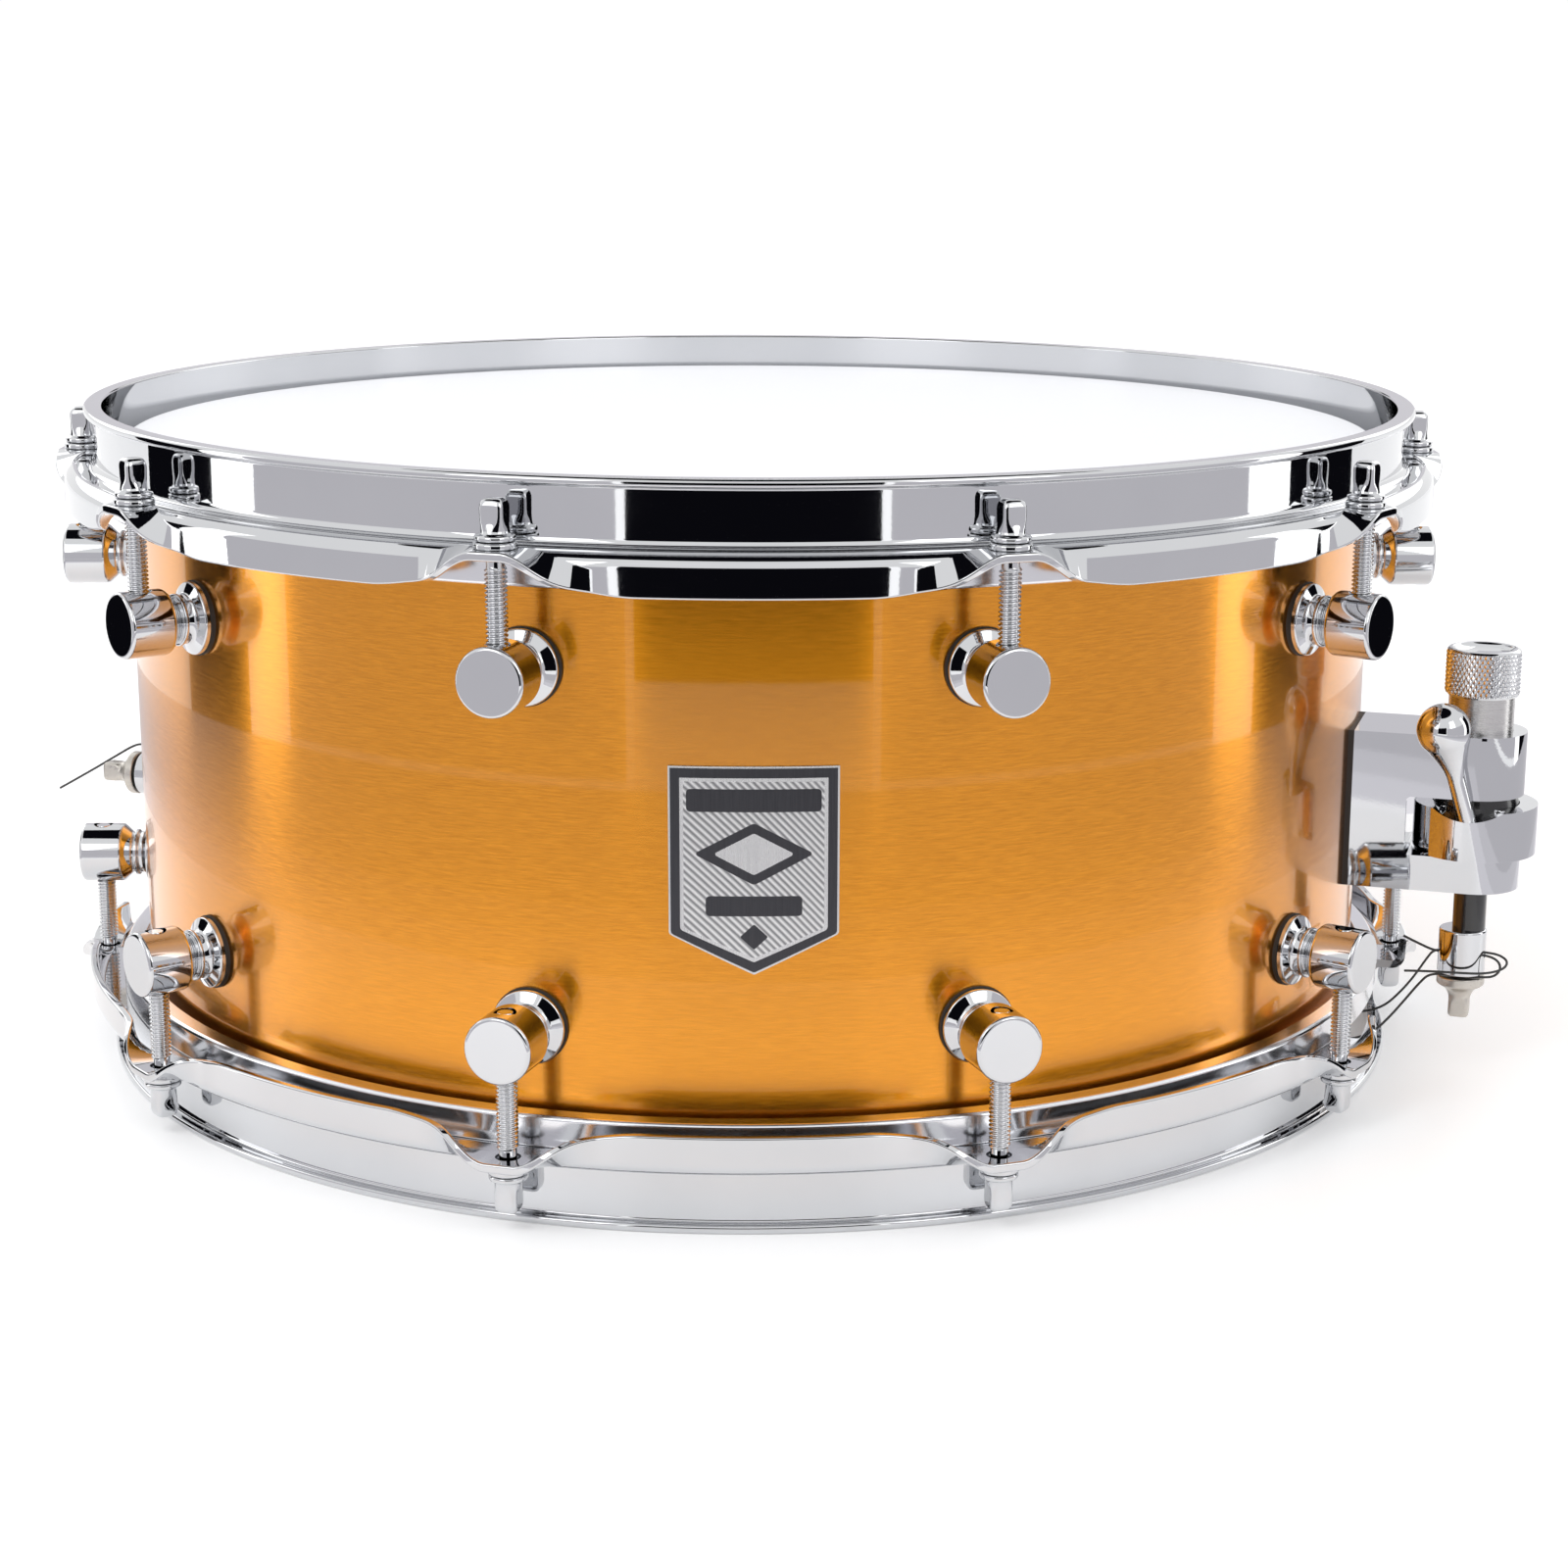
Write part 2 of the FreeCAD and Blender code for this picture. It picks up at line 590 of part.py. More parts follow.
def butt_clamp_screw():
    screw = key_screw()
    screw.rotate(ORIGIN, Vector(0, 1, 0), -90)
    screw.translate(Vector(BARREL_END + CLAMP_SLIT, 0, BUTT_AXIS))
    return screw


# ---- Snare wires and strings ----

def end_plate():
    """The thin plate that a row of snare coils and two strings are fixed to."""
    plate = upright_prism([
        (PLATE_INNER, -PLATE_HALF_WIDTH, 1), (PLATE_OUTER, -PLATE_HALF_WIDTH, 3),
        (PLATE_OUTER, PLATE_HALF_WIDTH, 3), (PLATE_INNER, PLATE_HALF_WIDTH, 1),
    ], PLATE_TOP - PLATE_THICKNESS, PLATE_TOP)
    holes = [outward_cylinder(0.6, PLATE_OUTER - 4, PLATE_OUTER + 1, STRING_HEIGHT, y)
             for y in (-STRING_SPREAD, STRING_SPREAD)]
    return plate.cut(holes)


def snare_coils():
    """The outer shape of the coiled wires between the two plates."""
    coils = []
    for index in range(COIL_COUNT):
        y = (index - (COIL_COUNT - 1) / 2) * COIL_PITCH
        coil = outward_cylinder(COIL_RADIUS, -PLATE_INNER, PLATE_INNER, PLATE_TOP - PLATE_THICKNESS / 2, y)
        coils.append(at_azimuth(coil, STRAINER_AZIMUTH))
    return coils


def cord_tube(name, points, diameter):
    """A tube along straight runs, each bend as large as its two runs allow."""
    route = [Vector(*point) for point in points]
    stations = [(route[0], None, route[0])]
    bends = []
    for last, point, following in zip(route, route[1:], route[2:]):
        turn = (point - last).getAngle(following - point)
        if turn < STRAIGHT_TURN:
            stations.append((point, None, point))
            continue
        run = min((last - point).Length, (following - point).Length)
        bends.append(BEND_SHARE * run / math.tan(turn / 2))
        stations.append(rounded_corner(last, point, following, bends[-1]))
    stations.append((route[-1], None, route[-1]))
    path = Part.Wire(joined_edges(stations, closed=False))
    section = Part.Wire(Part.makeCircle(diameter / 2, route[0], route[1] - route[0]))
    tube = path.makePipeShell([section], True, False)
    straight_volume = math.pi * diameter * diameter / 4 * path.Length
    print(name, "length", round(path.Length, 1), "smallest bend", round(min(bends), 2),
          "volume", round(tube.Volume / straight_volume, 3))
    return tube


# The strings' routes, in the strainer's and the butt's local frames.
STRAINER_STRING_1 = [
    (147.0, 15.0, -84.0), (165.0, 16.2, -84.05), (181.5, 17.5, -83.8), (187.8, 17.0, -81.2),
    (192.5, 14.2, -75.6), (196.6, 9.8, -69.2), (200.0, 5.0, -62.6), (202.8, 1.5, -57.7),
    (210.2, 1.5, -57.85), (217.6, 1.5, -57.7), (221.3, 1.3, -58.2), (223.6, -1.2, -59.2),
    (222.6, -5.2, -60.4), (217.8, -8.3, -61.2), (210.5, -9.2, -61.3), (203.0, -9.0, -61.5),
    (195.5, -8.4, -62.2),
]
STRAINER_STRING_2 = [
    (147.0, -15.0, -84.0), (165.0, -13.6, -84.05), (181.5, -9.8, -83.8), (188.0, -8.0, -81.0),
    (192.2, -6.6, -76.4), (196.0, -5.3, -71.4), (199.4, -4.2, -66.8), (202.2, -3.4, -63.75),
    (209.6, -3.2, -63.75), (217.0, -3.4, -63.75), (220.2, -3.3, -63.2), (221.8, -2.9, -61.0),
    (220.9, -2.2, -58.8), (217.8, -1.5, -57.7), (210.6, -1.5, -57.55), (203.4, -1.5, -57.7),
    (199.4, -1.0, -56.4), (194.0, 0.0, -54.4),
]
BUTT_STRING_1 = [
    (147.0, 15.0, -84.0), (165.0, 13.5, -84.05), (181.5, 9.9, -83.8), (188.4, 7.8, -80.8),
    (192.6, 5.8, -73.4), (195.6, 3.8, -64.0), (197.3, 1.6, -54.2), (197.5, 0.0, -44.8),
    (197.35, 0.0, -35.5), (197.5, 0.0, -27.6), (198.2, -0.5, -22.4),
]
BUTT_STRING_2 = [
    (147.0, -15.0, -84.0), (165.0, -13.5, -84.05), (181.5, -9.9, -83.8), (188.6, -8.2, -80.6),
    (194.2, -6.7, -72.0), (199.4, -5.3, -60.8), (203.0, -4.2, -50.6), (204.45, -3.5, -42.6),
    (204.45, -3.3, -35.6), (204.45, -3.5, -30.2), (205.2, -3.5, -27.0), (208.6, -3.5, -27.4),
    (215.4, -3.7, -31.4), (225.8, -4.0, -37.6), (237.0, -4.3, -43.9),
]


# ---- The whole drum ----

def save_shell_parts():
    save("shell", shell())
    save("vent_grommet", at_azimuth(vent_grommet(), VENT_AZIMUTH))
    save("badge", at_azimuth(badge(), 0))


def save_heads_and_hoops():
    save("batter_head", head_film())
    save("batter_flesh_hoop", flesh_hoop())
    save("batter_hoop", counterhoop())
    save("snare_side_head", upside_down(head_film()))
    save("snare_side_flesh_hoop", upside_down(flesh_hoop()))
    save("snare_side_hoop", snare_side_hoop())


def save_lugs_and_rods():
    azimuths = lug_azimuths()
    upper_lugs = [at_azimuth(lug(), azimuth) for azimuth in azimuths]
    gaskets = [at_azimuth(lug_gasket(), azimuth) for azimuth in azimuths]
    screws = [at_azimuth(fixing_screw(LUG_SCREW_TIP, LUG_HEIGHT), azimuth) for azimuth in azimuths]
    washers = [at_azimuth(rod_washer(), azimuth) for azimuth in azimuths]
    save_group("upper_lugs", upper_lugs)
    save_group("lower_lugs", [upside_down(piece) for piece in upper_lugs])
    save_group("lug_gaskets", gaskets + [upside_down(piece) for piece in gaskets])
    save_group("lug_screws", screws + [upside_down(piece) for piece in screws])
    save_group("rod_washers", washers + [upside_down(piece) for piece in washers])
    for index, azimuth in enumerate(azimuths):
        rod = at_azimuth(tension_rod(), azimuth)
        save("upper_tension_rod_%02d" % (index + 1), rod)
        save("lower_tension_rod_%02d" % (index + 1), upside_down(rod))


def save_strainer():
    gasket = curved_gasket(STRAINER_SEAT, BARREL_RADIUS, BODY_BOTTOM, BODY_TOP, STRAINER_SCREWS)
    pieces = {
        "strainer_body": strainer_body(),
        "strainer_gasket": gasket,
        "lever_collar": lever_collar(),
        "collar_cam": collar_cam(),
        "collar_screw": collar_screw(),
        "lever_handle": lever_handle(),
        "tension_knob": tension_knob(),
        "plunger": plunger(),
        "snare_clamp": snare_clamp(),
        "clamp_screw": clamp_screw(),
        "strainer_end_plate": end_plate(),
        "strainer_string_1": cord_tube("strainer_string_1", STRAINER_STRING_1, STRING_DIAMETER),
        "strainer_string_2": cord_tube("strainer_string_2", STRAINER_STRING_2, STRING_DIAMETER),
    }
    for name, piece in pieces.items():
        save(name, at_azimuth(piece, STRAINER_AZIMUTH))
    screws = [at_azimuth(fixing_screw(BLOCK_SCREW_TIP, height), STRAINER_AZIMUTH) for height in STRAINER_SCREWS]
    save_group("strainer_screws", screws)
    save_group("snare_coils", snare_coils())


def save_butt():
    pieces = {
        "butt_block": butt_block(),
        "butt_gasket": curved_gasket(STRAINER_SEAT, BUTT_HALF_WIDTH, BUTT_BOTTOM, BUTT_TOP, BUTT_SCREWS),
        "butt_clamp_screw": butt_clamp_screw(),
        "butt_end_plate": end_plate(),
        "butt_string_1": cord_tube("butt_string_1", BUTT_STRING_1, STRING_DIAMETER),
        "butt_string_2": cord_tube("butt_string_2", BUTT_STRING_2, STRING_DIAMETER),
    }
    for name, piece in pieces.items():
        save(name, at_azimuth(piece, BUTT_AZIMUTH))
    screws = [at_azimuth(fixing_screw(BLOCK_SCREW_TIP, height), BUTT_AZIMUTH) for height in BUTT_SCREWS]
    save_group("butt_screws", screws)


os.makedirs("parts", exist_ok=True)
save_shell_parts()
save_heads_and_hoops()
save_lugs_and_rods()
save_strainer()
save_butt()
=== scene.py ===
import math

import bmesh
import bpy
from mathutils import Euler, Matrix, Vector


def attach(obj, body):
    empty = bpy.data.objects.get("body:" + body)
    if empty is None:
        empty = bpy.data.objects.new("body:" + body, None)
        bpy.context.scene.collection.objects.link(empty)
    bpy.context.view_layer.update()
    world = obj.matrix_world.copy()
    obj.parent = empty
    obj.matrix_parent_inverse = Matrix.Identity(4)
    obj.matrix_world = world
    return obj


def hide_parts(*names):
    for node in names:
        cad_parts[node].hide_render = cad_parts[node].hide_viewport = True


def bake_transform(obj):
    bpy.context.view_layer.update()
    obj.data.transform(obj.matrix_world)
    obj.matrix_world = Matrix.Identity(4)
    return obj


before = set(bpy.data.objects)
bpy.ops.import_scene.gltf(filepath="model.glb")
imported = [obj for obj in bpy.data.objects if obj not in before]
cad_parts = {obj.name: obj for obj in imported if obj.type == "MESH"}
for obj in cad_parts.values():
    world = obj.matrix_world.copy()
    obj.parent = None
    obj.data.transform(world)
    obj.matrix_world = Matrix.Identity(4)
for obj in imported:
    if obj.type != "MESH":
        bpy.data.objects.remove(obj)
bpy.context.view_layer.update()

# Meshes are made in millimetres with heights counted from the drum's middle plane, and scaled to metres.
# A piece with a place round the shell is made in a local frame, +X straight out from the drum's axis, and
# azimuths are in degrees from the front, growing towards +X, as in the CAD model.
MM = 0.001
HALF_HEIGHT = 92.5

SHELL_RADIUS = 177.8
SHELL_WALL = 3.0
SHELL_HALF_DEPTH = 82.5
EDGE_BEVEL = 1.3
SNARE_BED_HALF_WIDTH = 50.0
SNARE_BED_DEPTH = 1.9
SNARE_BED_START = 81.0
VENT_RADIUS = 6.0
VENT_BORE = 4.2

BADGE_HALF_WIDTH = 20.6
BADGE_TOP = 22.4
BADGE_SHOULDER = -19.4
BADGE_POINT = -29.4

HEAD_FACE = 82.95
FILM = 0.4
COLLAR_OUTER = 181.5
COLLAR_INNER = 181.1
FILM_HEM = 69.2
FLESH_HOOP_INNER = 180.3
FLESH_HOOP_OUTER = 185.6
FLESH_HOOP_LOW = 65.4

BAND_OUTER = 186.2
HOOP_SHEET = 2.3
SHEET_EASING = 0.6
LIP_OUTER = 189.0
LIP_LOW = 90.3
EAR_SEAT = 75.9
EAR_OUTER = 200.5
EAR_HOLE_RADIUS = 3.2
SKIRT_OUTER = 195.0
SKIRT_EDGE = 65.3
BEND_RADIUS = 3.9
BEND_START = SKIRT_OUTER - BEND_RADIUS
BEND_SPAN = (3.5, 24)
DROP_SPAN = (5, 34)
GATE_BOTTOM = 85.0
GATE_HALF_WIDTH = 39.0

LUG_COUNT = 10
FIRST_LUG_AZIMUTH = 18.0
LUG_HEIGHT = 45.0
LUG_SEAT = 178.6
LUG_FACE = 199.8
LUG_RADIUS = 8.6
LUG_BORE = 2.8
GASKET_RADIUS = 9.8
ROD_CIRCLE = 193.85
ROD_TIP = 36.7
ROD_CORE = 2.2
THREAD_CREST = 2.73
THREAD_PITCH = 1.058
THREAD_STEP = 0.13
THREAD_LOW = 50.4
THREAD_HIGH = 71.2
HEAD_TOP = 87.7
WASHER_RADIUS = 5.25
WASHER_TOP = EAR_SEAT + 1.8

STRAINER_AZIMUTH = 72.0
BUTT_AZIMUTH = -108.0
STRAINER_SEAT = 178.9
BARREL_CENTRE = 212.0
BARREL_RADIUS = 13.0
BODY_TOP = 7.0
BODY_BOTTOM = -37.3
SLOT_INNER = 194.0
SLOT_TOP = -10.7
SLOT_BOTTOM = -27.3
RING_OUTER = 17.0
RING_INNER = 12.0
RING_TOP = -13.4
RING_LOW = -27.2
SCOOP_RADIUS = 19.0
LEVER_ROOT = (BARREL_CENTRE, -14.5, -16.0)
LEVER_RISE = 26.5
LEVER_LEAN = (-0.25, -0.28)
LEVER_STEM = 2.45
LEVER_BALL = 7.35
LEVER_SWELL = 15.5
KNOB_RADIUS = 10.35
KNOB_BORE = 2.55
NECK_RADIUS = 9.05
NECK_LOW = -1.0
NECK_TOP = 16.8
KNURL_LOW = 17.7
KNURL_TOP = 29.3
KNURL_STEP = 0.17
KNURL_DEPTH = 0.55
KNURL_LEAN = 0.62
DIAMONDS = 46
KNOB_SEGMENTS = 8 * DIAMONDS
PLUNGER_RADIUS = 4.6
PLUNGER_END = -50.5
CLAMP_CENTRE = 210.5
CLAMP_RADIUS = 6.65
CLAMP_LENGTH = 12.8
KEY_SCREW_GAP = 0.9
KEY_SHANK = 2.45
BUTT_AXIS = -35.5
BUTT_LOW = -50
BUTT_TOP = -22
BUTT_HALF_WIDTH = 13
BUTT_FACE = 193
BUTT_BARREL_END = 204

PLATE_INNER = 138
PLATE_OUTER = 150
PLATE_HALF_WIDTH = 21.5
PLATE_LOW = -85.0
PLATE_TOP = -83.35
COIL_COUNT = 20
COIL_SPACING = 2.1
COIL_HALF_LENGTH = 137.5
COIL_HEIGHT = -84.175
COIL_PITCH = 2.0
COIL_RADIUS = 0.64
WIRE_RADIUS = 0.19
STRING_DIAMETER = 0.7

STAND_LIFT = 0.05
WALL_RADIUS = 620
SOFT_BOX_RADIUS = 1000
BLACK = (0.004, 0.004, 0.006)
LAVENDER = (0.97, 0.95, 1.0)
WHITE = (1, 1, 1)

# The material for each look. The looks' materials are filled in by make_materials.
LOOKS = {}


# ---- Outlines and meshes ----

def smooth_step(value, low, high):
    share = min(max((value - low) / (high - low), 0.0), 1.0)
    return share * share * (3 - 2 * share)


def shift(x=0.0, y=0.0, z=0.0):
    """A move in millimetres."""
    return Matrix.Translation((x * MM, y * MM, z * MM))


def turned(degrees, axis):
    return Matrix.Rotation(math.radians(degrees), 4, axis)


def new_object(name, data):
    made = bpy.data.objects.new(name, data)
    bpy.context.scene.collection.objects.link(made)
    return made


def arc_points(centre, start, sweep, steps):
    """Points on an arc, where start is the offset of its first point from the centre."""
    points = []
    for step in range(steps + 1):
        angle = sweep * step / steps
        x = start[0] * math.cos(angle) - start[1] * math.sin(angle)
        y = start[0] * math.sin(angle) + start[1] * math.cos(angle)
        points.append((centre[0] + x, centre[1] + y))
    return points


def rounded(corners, closed=True, degrees_per_step=12):
    """The points of an outline whose corners (a, b, radius) are arcs that touch both their sides."""
    count = len(corners)
    points = []
    for index, corner in enumerate(corners):
        here = Vector(corner[:2])
        radius = corner[2] if len(corner) > 2 else 0.0
        if radius == 0.0 or (not closed and index in (0, count - 1)):
            points.append((here.x, here.y))
            continue
        back = (Vector(corners[index - 1][:2]) - here).normalized()
        ahead = (Vector(corners[(index + 1) % count][:2]) - here).normalized()
        half = back.angle(ahead) / 2
        centre = here + (back + ahead).normalized() * (radius / math.sin(half))
        start = here + back * (radius / math.tan(half)) - centre
        end = here + ahead * (radius / math.tan(half)) - centre
        sweep = math.atan2(start.x * end.y - start.y * end.x, start.dot(end))
        steps = max(2, math.ceil(abs(math.degrees(sweep)) / degrees_per_step))
        points += arc_points(centre, start, sweep, steps)
    return points


def new_mesh(name, points, faces, matrix=None):
    mesh = bpy.data.meshes.new(name)
    mesh.from_pydata([Vector(point) * MM for point in points], [], faces)
    if matrix is not None:
        mesh.transform(matrix)
    mesh.validate()
    work = bmesh.new()
    work.from_mesh(mesh)
    bmesh.ops.recalc_face_normals(work, faces=work.faces[:])
    work.to_mesh(mesh)
    work.free()
    return mesh


def ring_mesh(name, rings, loop_of_rings=False, matrix=None):
    """A mesh through rings of points. A ring of one point is a pole."""
    points = []
    firsts = []
    for ring in rings:
        firsts.append(len(points))
        points += ring
    faces = []
    spans = list(zip(range(len(rings)), range(1, len(rings))))
    if loop_of_rings:
        spans.append((len(rings) - 1, 0))
    for low, high in spans:
        faces += ring_faces(firsts[low], len(rings[low]), firsts[high], len(rings[high]))
    return new_mesh(name, points, faces, matrix)


def ring_faces(low, low_count, high, high_count):
    count = max(low_count, high_count)
    faces = []
    for step in range(count):
        following = (step + 1) % count
        if low_count == 1:
            faces.append((low, high + following, high + step))
        elif high_count == 1:
            faces.append((low + step, low + following, high))
        else:
            faces.append((low + step, low + following, high + following, high + step))
    return faces


def circle(radius, height, segments):
    if radius < 1e-6:
        return [(0, 0, height)]
    turns = [2 * math.pi * step / segments for step in range(segments)]
    return [(radius * math.cos(turn), radius * math.sin(turn), height) for turn in turns]


def lathe(name, corners, segments=96, matrix=None, degrees_per_step=12):
    """A turned mesh about Z from corners (radius, height, rounding).

    A profile that starts on the axis ends on it."""
    on_axis = corners[0][0] < 1e-6
    profile = rounded(corners, closed=not on_axis, degrees_per_step=degrees_per_step)
    rings = [circle(radius, height, segments) for radius, height in profile]
    return ring_mesh(name, rings, loop_of_rings=not on_axis, matrix=matrix)


OUTWARD = Matrix(((0, 0, 1, 0), (0, -1, 0, 0), (1, 0, 0, 0), (0, 0, 0, 1)))


def lathe_outward(name, corners, height=0.0, segments=96):
    """A turned mesh about the local X axis, from corners (distance out, radius, rounding)."""
    swapped = [(corner[1], corner[0]) + tuple(corner[2:]) for corner in corners]
    return lathe(name, swapped, segments, shift(z=height) @ OUTWARD)


def prism(name, outline, low, high, place):
    """An outline of points (a, b) drawn from low to high, where place(a, b, h) gives a point."""
    count = len(outline)
    points = [place(a, b, low) for a, b in outline] + [place(a, b, high) for a, b in outline]
    faces = [(step, (step + 1) % count, count + (step + 1) % count, count + step) for step in range(count)]
    faces += [tuple(range(count - 1, -1, -1)), tuple(range(count, 2 * count))]
    return new_mesh(name, points, faces)


def upright(x, y, height):
    return (x, y, height)


def sideways(x, height, y):
    return (x, y, height)


def outwards(y, height, x):
    return (x, y, height)


def baked(mesh, cutters=(), bevel=0.0, sharp_degrees=32, segments=3):
    """The mesh with its cutters taken out, its edges bevelled and its shading smooth between sharp edges."""
    work = new_object("work", mesh)
    helpers = []
    for cutter in cutters:
        helper = new_object("cutter", cutter)
        helpers.append(helper)
        cut = work.modifiers.new("cut", "BOOLEAN")
        cut.operation = "DIFFERENCE"
        cut.solver = "EXACT"
        cut.object = helper
    if bevel:
        ease = work.modifiers.new("ease", "BEVEL")
        ease.width = bevel * MM
        ease.segments = segments
        ease.limit_method = "ANGLE"
        ease.angle_limit = math.radians(sharp_degrees)
        ease.harden_normals = False
    depsgraph = bpy.context.evaluated_depsgraph_get()
    result = bpy.data.meshes.new_from_object(work.evaluated_get(depsgraph), depsgraph=depsgraph)
    for helper in helpers + [work]:
        bpy.data.objects.remove(helper)
    result.name = mesh.name
    return shaded(result, sharp_degrees)


def shaded(mesh, sharp_degrees=32):
    mesh.shade_smooth()
    mesh.set_sharp_from_angle(angle=math.radians(sharp_degrees))
    return mesh


# ---- Placing ----

def at_azimuth(azimuth, lower=False):
    """Where a mesh made in the local frame goes. A lower piece is the upper one turned over."""
    over = turned(180, "X") if lower else Matrix.Identity(4)
    return shift(z=HALF_HEIGHT) @ turned(azimuth - 90, "Z") @ over


def add_piece(name, mesh, look, body, nodes, place=None):
    """Put a mesh in the scene on a body, in place of the CAD nodes that it stands for."""
    piece = new_object(name, mesh)
    piece.matrix_world = place if place is not None else at_azimuth(90)
    if not mesh.materials:
        mesh.materials.append(LOOKS[look])
    weigh = piece.modifiers.new("weigh", "WEIGHTED_NORMAL")
    weigh.keep_sharp = True
    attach(piece, body)
    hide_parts(*nodes)


def lug_azimuths():
    return [FIRST_LUG_AZIMUTH + index * 360.0 / LUG_COUNT for index in range(LUG_COUNT)]


# ---- Materials ----

def new_material(name):
    material = bpy.data.materials.new(name)
    material.use_nodes = True
    nodes = material.node_tree.nodes
    return material, nodes, material.node_tree.links, nodes["Principled BSDF"]


def fill(node, values):
    for socket, value in values.items():
        node.inputs[socket].default_value = value


def grey(value):
    return (value, value, value)


def object_coordinates(nodes, links, scale=(1, 1, 1)):
    """Object coordinates stretched by a scale for each axis."""
    source = nodes.new("ShaderNodeTexCoord")
    mapping = nodes.new("ShaderNodeMapping")
    fill(mapping, {"Scale": scale})
    links.new(source.outputs["Object"], mapping.inputs["Vector"])
    return mapping.outputs["Vector"]


def noise_value(nodes, links, vector, scale, detail=4.0):
    noise = nodes.new("ShaderNodeTexNoise")
    fill(noise, {"Scale": scale, "Detail": detail})
    links.new(vector, noise.inputs["Vector"])
    return noise.outputs["Fac"]


def ranged(nodes, links, value, low, high, from_low=0.3, from_high=0.7):
    spread = nodes.new("ShaderNodeMapRange")
    fill(spread, {"From Min": from_low, "From Max": from_high, "To Min": low, "To Max": high})
    links.new(value, spread.inputs["Value"])
    return spread.outputs["Result"]


def mixed(nodes, links, share, first, second):
    mix = nodes.new("ShaderNodeMix")
    mix.data_type = "RGBA"
    fill(mix, {"A": (*first, 1), "B": (*second, 1)})
    links.new(share, mix.inputs["Factor"])
    return mix.outputs["Result"]


def bump(nodes, links, shader, height, strength, distance):
    node = nodes.new("ShaderNodeBump")
    fill(node, {"Strength": strength, "Distance": distance})
    links.new(height, node.inputs["Height"])
    links.new(node.outputs["Normal"], shader.inputs["Normal"])


def polished_metal(name, colour, tint, rough_low, rough_high):
    """Plated metal: a mirror with faint smears and hairlines."""
    material, nodes, links, shader = new_material(name)
    vector = object_coordinates(nodes, links)
    smear = noise_value(nodes, links, vector, 35.0)
    hairline = noise_value(nodes, links, vector, 1400.0, 2.0)
    links.new(mixed(nodes, links, smear, colour, tint), shader.inputs["Base Color"])
    links.new(ranged(nodes, links, smear, rough_low, rough_high), shader.inputs["Roughness"])
    bump(nodes, links, shader, hairline, 0.02, 0.00005)
    fill(shader, {"Metallic": 1.0})
    return material


def brushed_metal(name, colour, tint, scale, roughness):
    """Metal with a grain: scale is small along the grain and large across it."""
    material, nodes, links, shader = new_material(name)
    grain = noise_value(nodes, links, object_coordinates(nodes, links, scale), 1.0, 5.0)
    links.new(mixed(nodes, links, grain, colour, tint), shader.inputs["Base Color"])
    links.new(ranged(nodes, links, grain, roughness * 0.75, roughness * 1.25), shader.inputs["Roughness"])
    bump(nodes, links, shader, grain, 0.15, 0.0001)
    fill(shader, {"Metallic": 1.0})
    return material


def shell_metal():
    """Bronze-gold anodised aluminium, brushed round the shell under a clear glossy lacquer."""
    material, nodes, links, shader = new_material("shell_anodised")
    grain = noise_value(nodes, links, object_coordinates(nodes, links, (190, 190, 2800)), 1.0, 6.0)
    fine = noise_value(nodes, links, object_coordinates(nodes, links, (560, 560, 7600)), 1.0, 3.0)
    cloud = noise_value(nodes, links, object_coordinates(nodes, links, (6, 6, 9)), 1.0, 2.0)
    add = nodes.new("ShaderNodeMath")
    add.operation = "MULTIPLY_ADD"
    add.inputs[1].default_value = 0.6
    links.new(fine, add.inputs[0])
    links.new(grain, add.inputs[2])
    share = ranged(nodes, links, add.outputs[0], 0.0, 1.0, 0.5, 1.1)
    brushed = mixed(nodes, links, share, (0.73, 0.265, 0.010), (0.93, 0.37, 0.022))
    shade = nodes.new("ShaderNodeMix")
    shade.data_type = "RGBA"
    shade.blend_type = "MULTIPLY"
    fill(shade, {"Factor": 0.25})
    links.new(brushed, shade.inputs["A"])
    links.new(mixed(nodes, links, cloud, grey(0.8), WHITE), shade.inputs["B"])
    links.new(shade.outputs["Result"], shader.inputs["Base Color"])
    links.new(ranged(nodes, links, share, 0.2, 0.26, 0.0, 1.0), shader.inputs["Roughness"])
    bump(nodes, links, shader, add.outputs[0], 0.02, 0.00008)
    fill(shader, {"Metallic": 1.0, "Anisotropic": 0.75, "Anisotropic Rotation": 0.25,
                  "Coat Weight": 0.7, "Coat Roughness": 0.03})
    tangent = nodes.new("ShaderNodeTangent")
    tangent.direction_type = "RADIAL"
    tangent.axis = "Z"
    links.new(tangent.outputs["Tangent"], shader.inputs["Tangent"])
    return material


def plain_surface(name, colour, tint, roughness, scale=600.0, strength=0.1, coat=0.0):
    material, nodes, links, shader = new_material(name)
    speck = noise_value(nodes, links, object_coordinates(nodes, links), scale)
    links.new(mixed(nodes, links, speck, colour, tint), shader.inputs["Base Color"])
    links.new(ranged(nodes, links, speck, roughness * 0.85, roughness * 1.15), shader.inputs["Roughness"])
    bump(nodes, links, shader, speck, strength, 0.0001)
    fill(shader, {"Coat Weight": coat, "Coat Roughness": 0.08})
    return material


def clear_film():
    """Clear polyester, thin enough that most light goes straight through."""
    material, nodes, links, shader = new_material("clear_film")
    haze = noise_value(nodes, links, object_coordinates(nodes, links), 60.0)
    links.new(mixed(nodes, links, haze, (0.9, 0.92, 0.95), WHITE), shader.inputs["Base Color"])
    links.new(ranged(nodes, links, haze, 0.05, 0.12), shader.inputs["Roughness"])
    fill(shader, {"Alpha": 0.22})
    return material


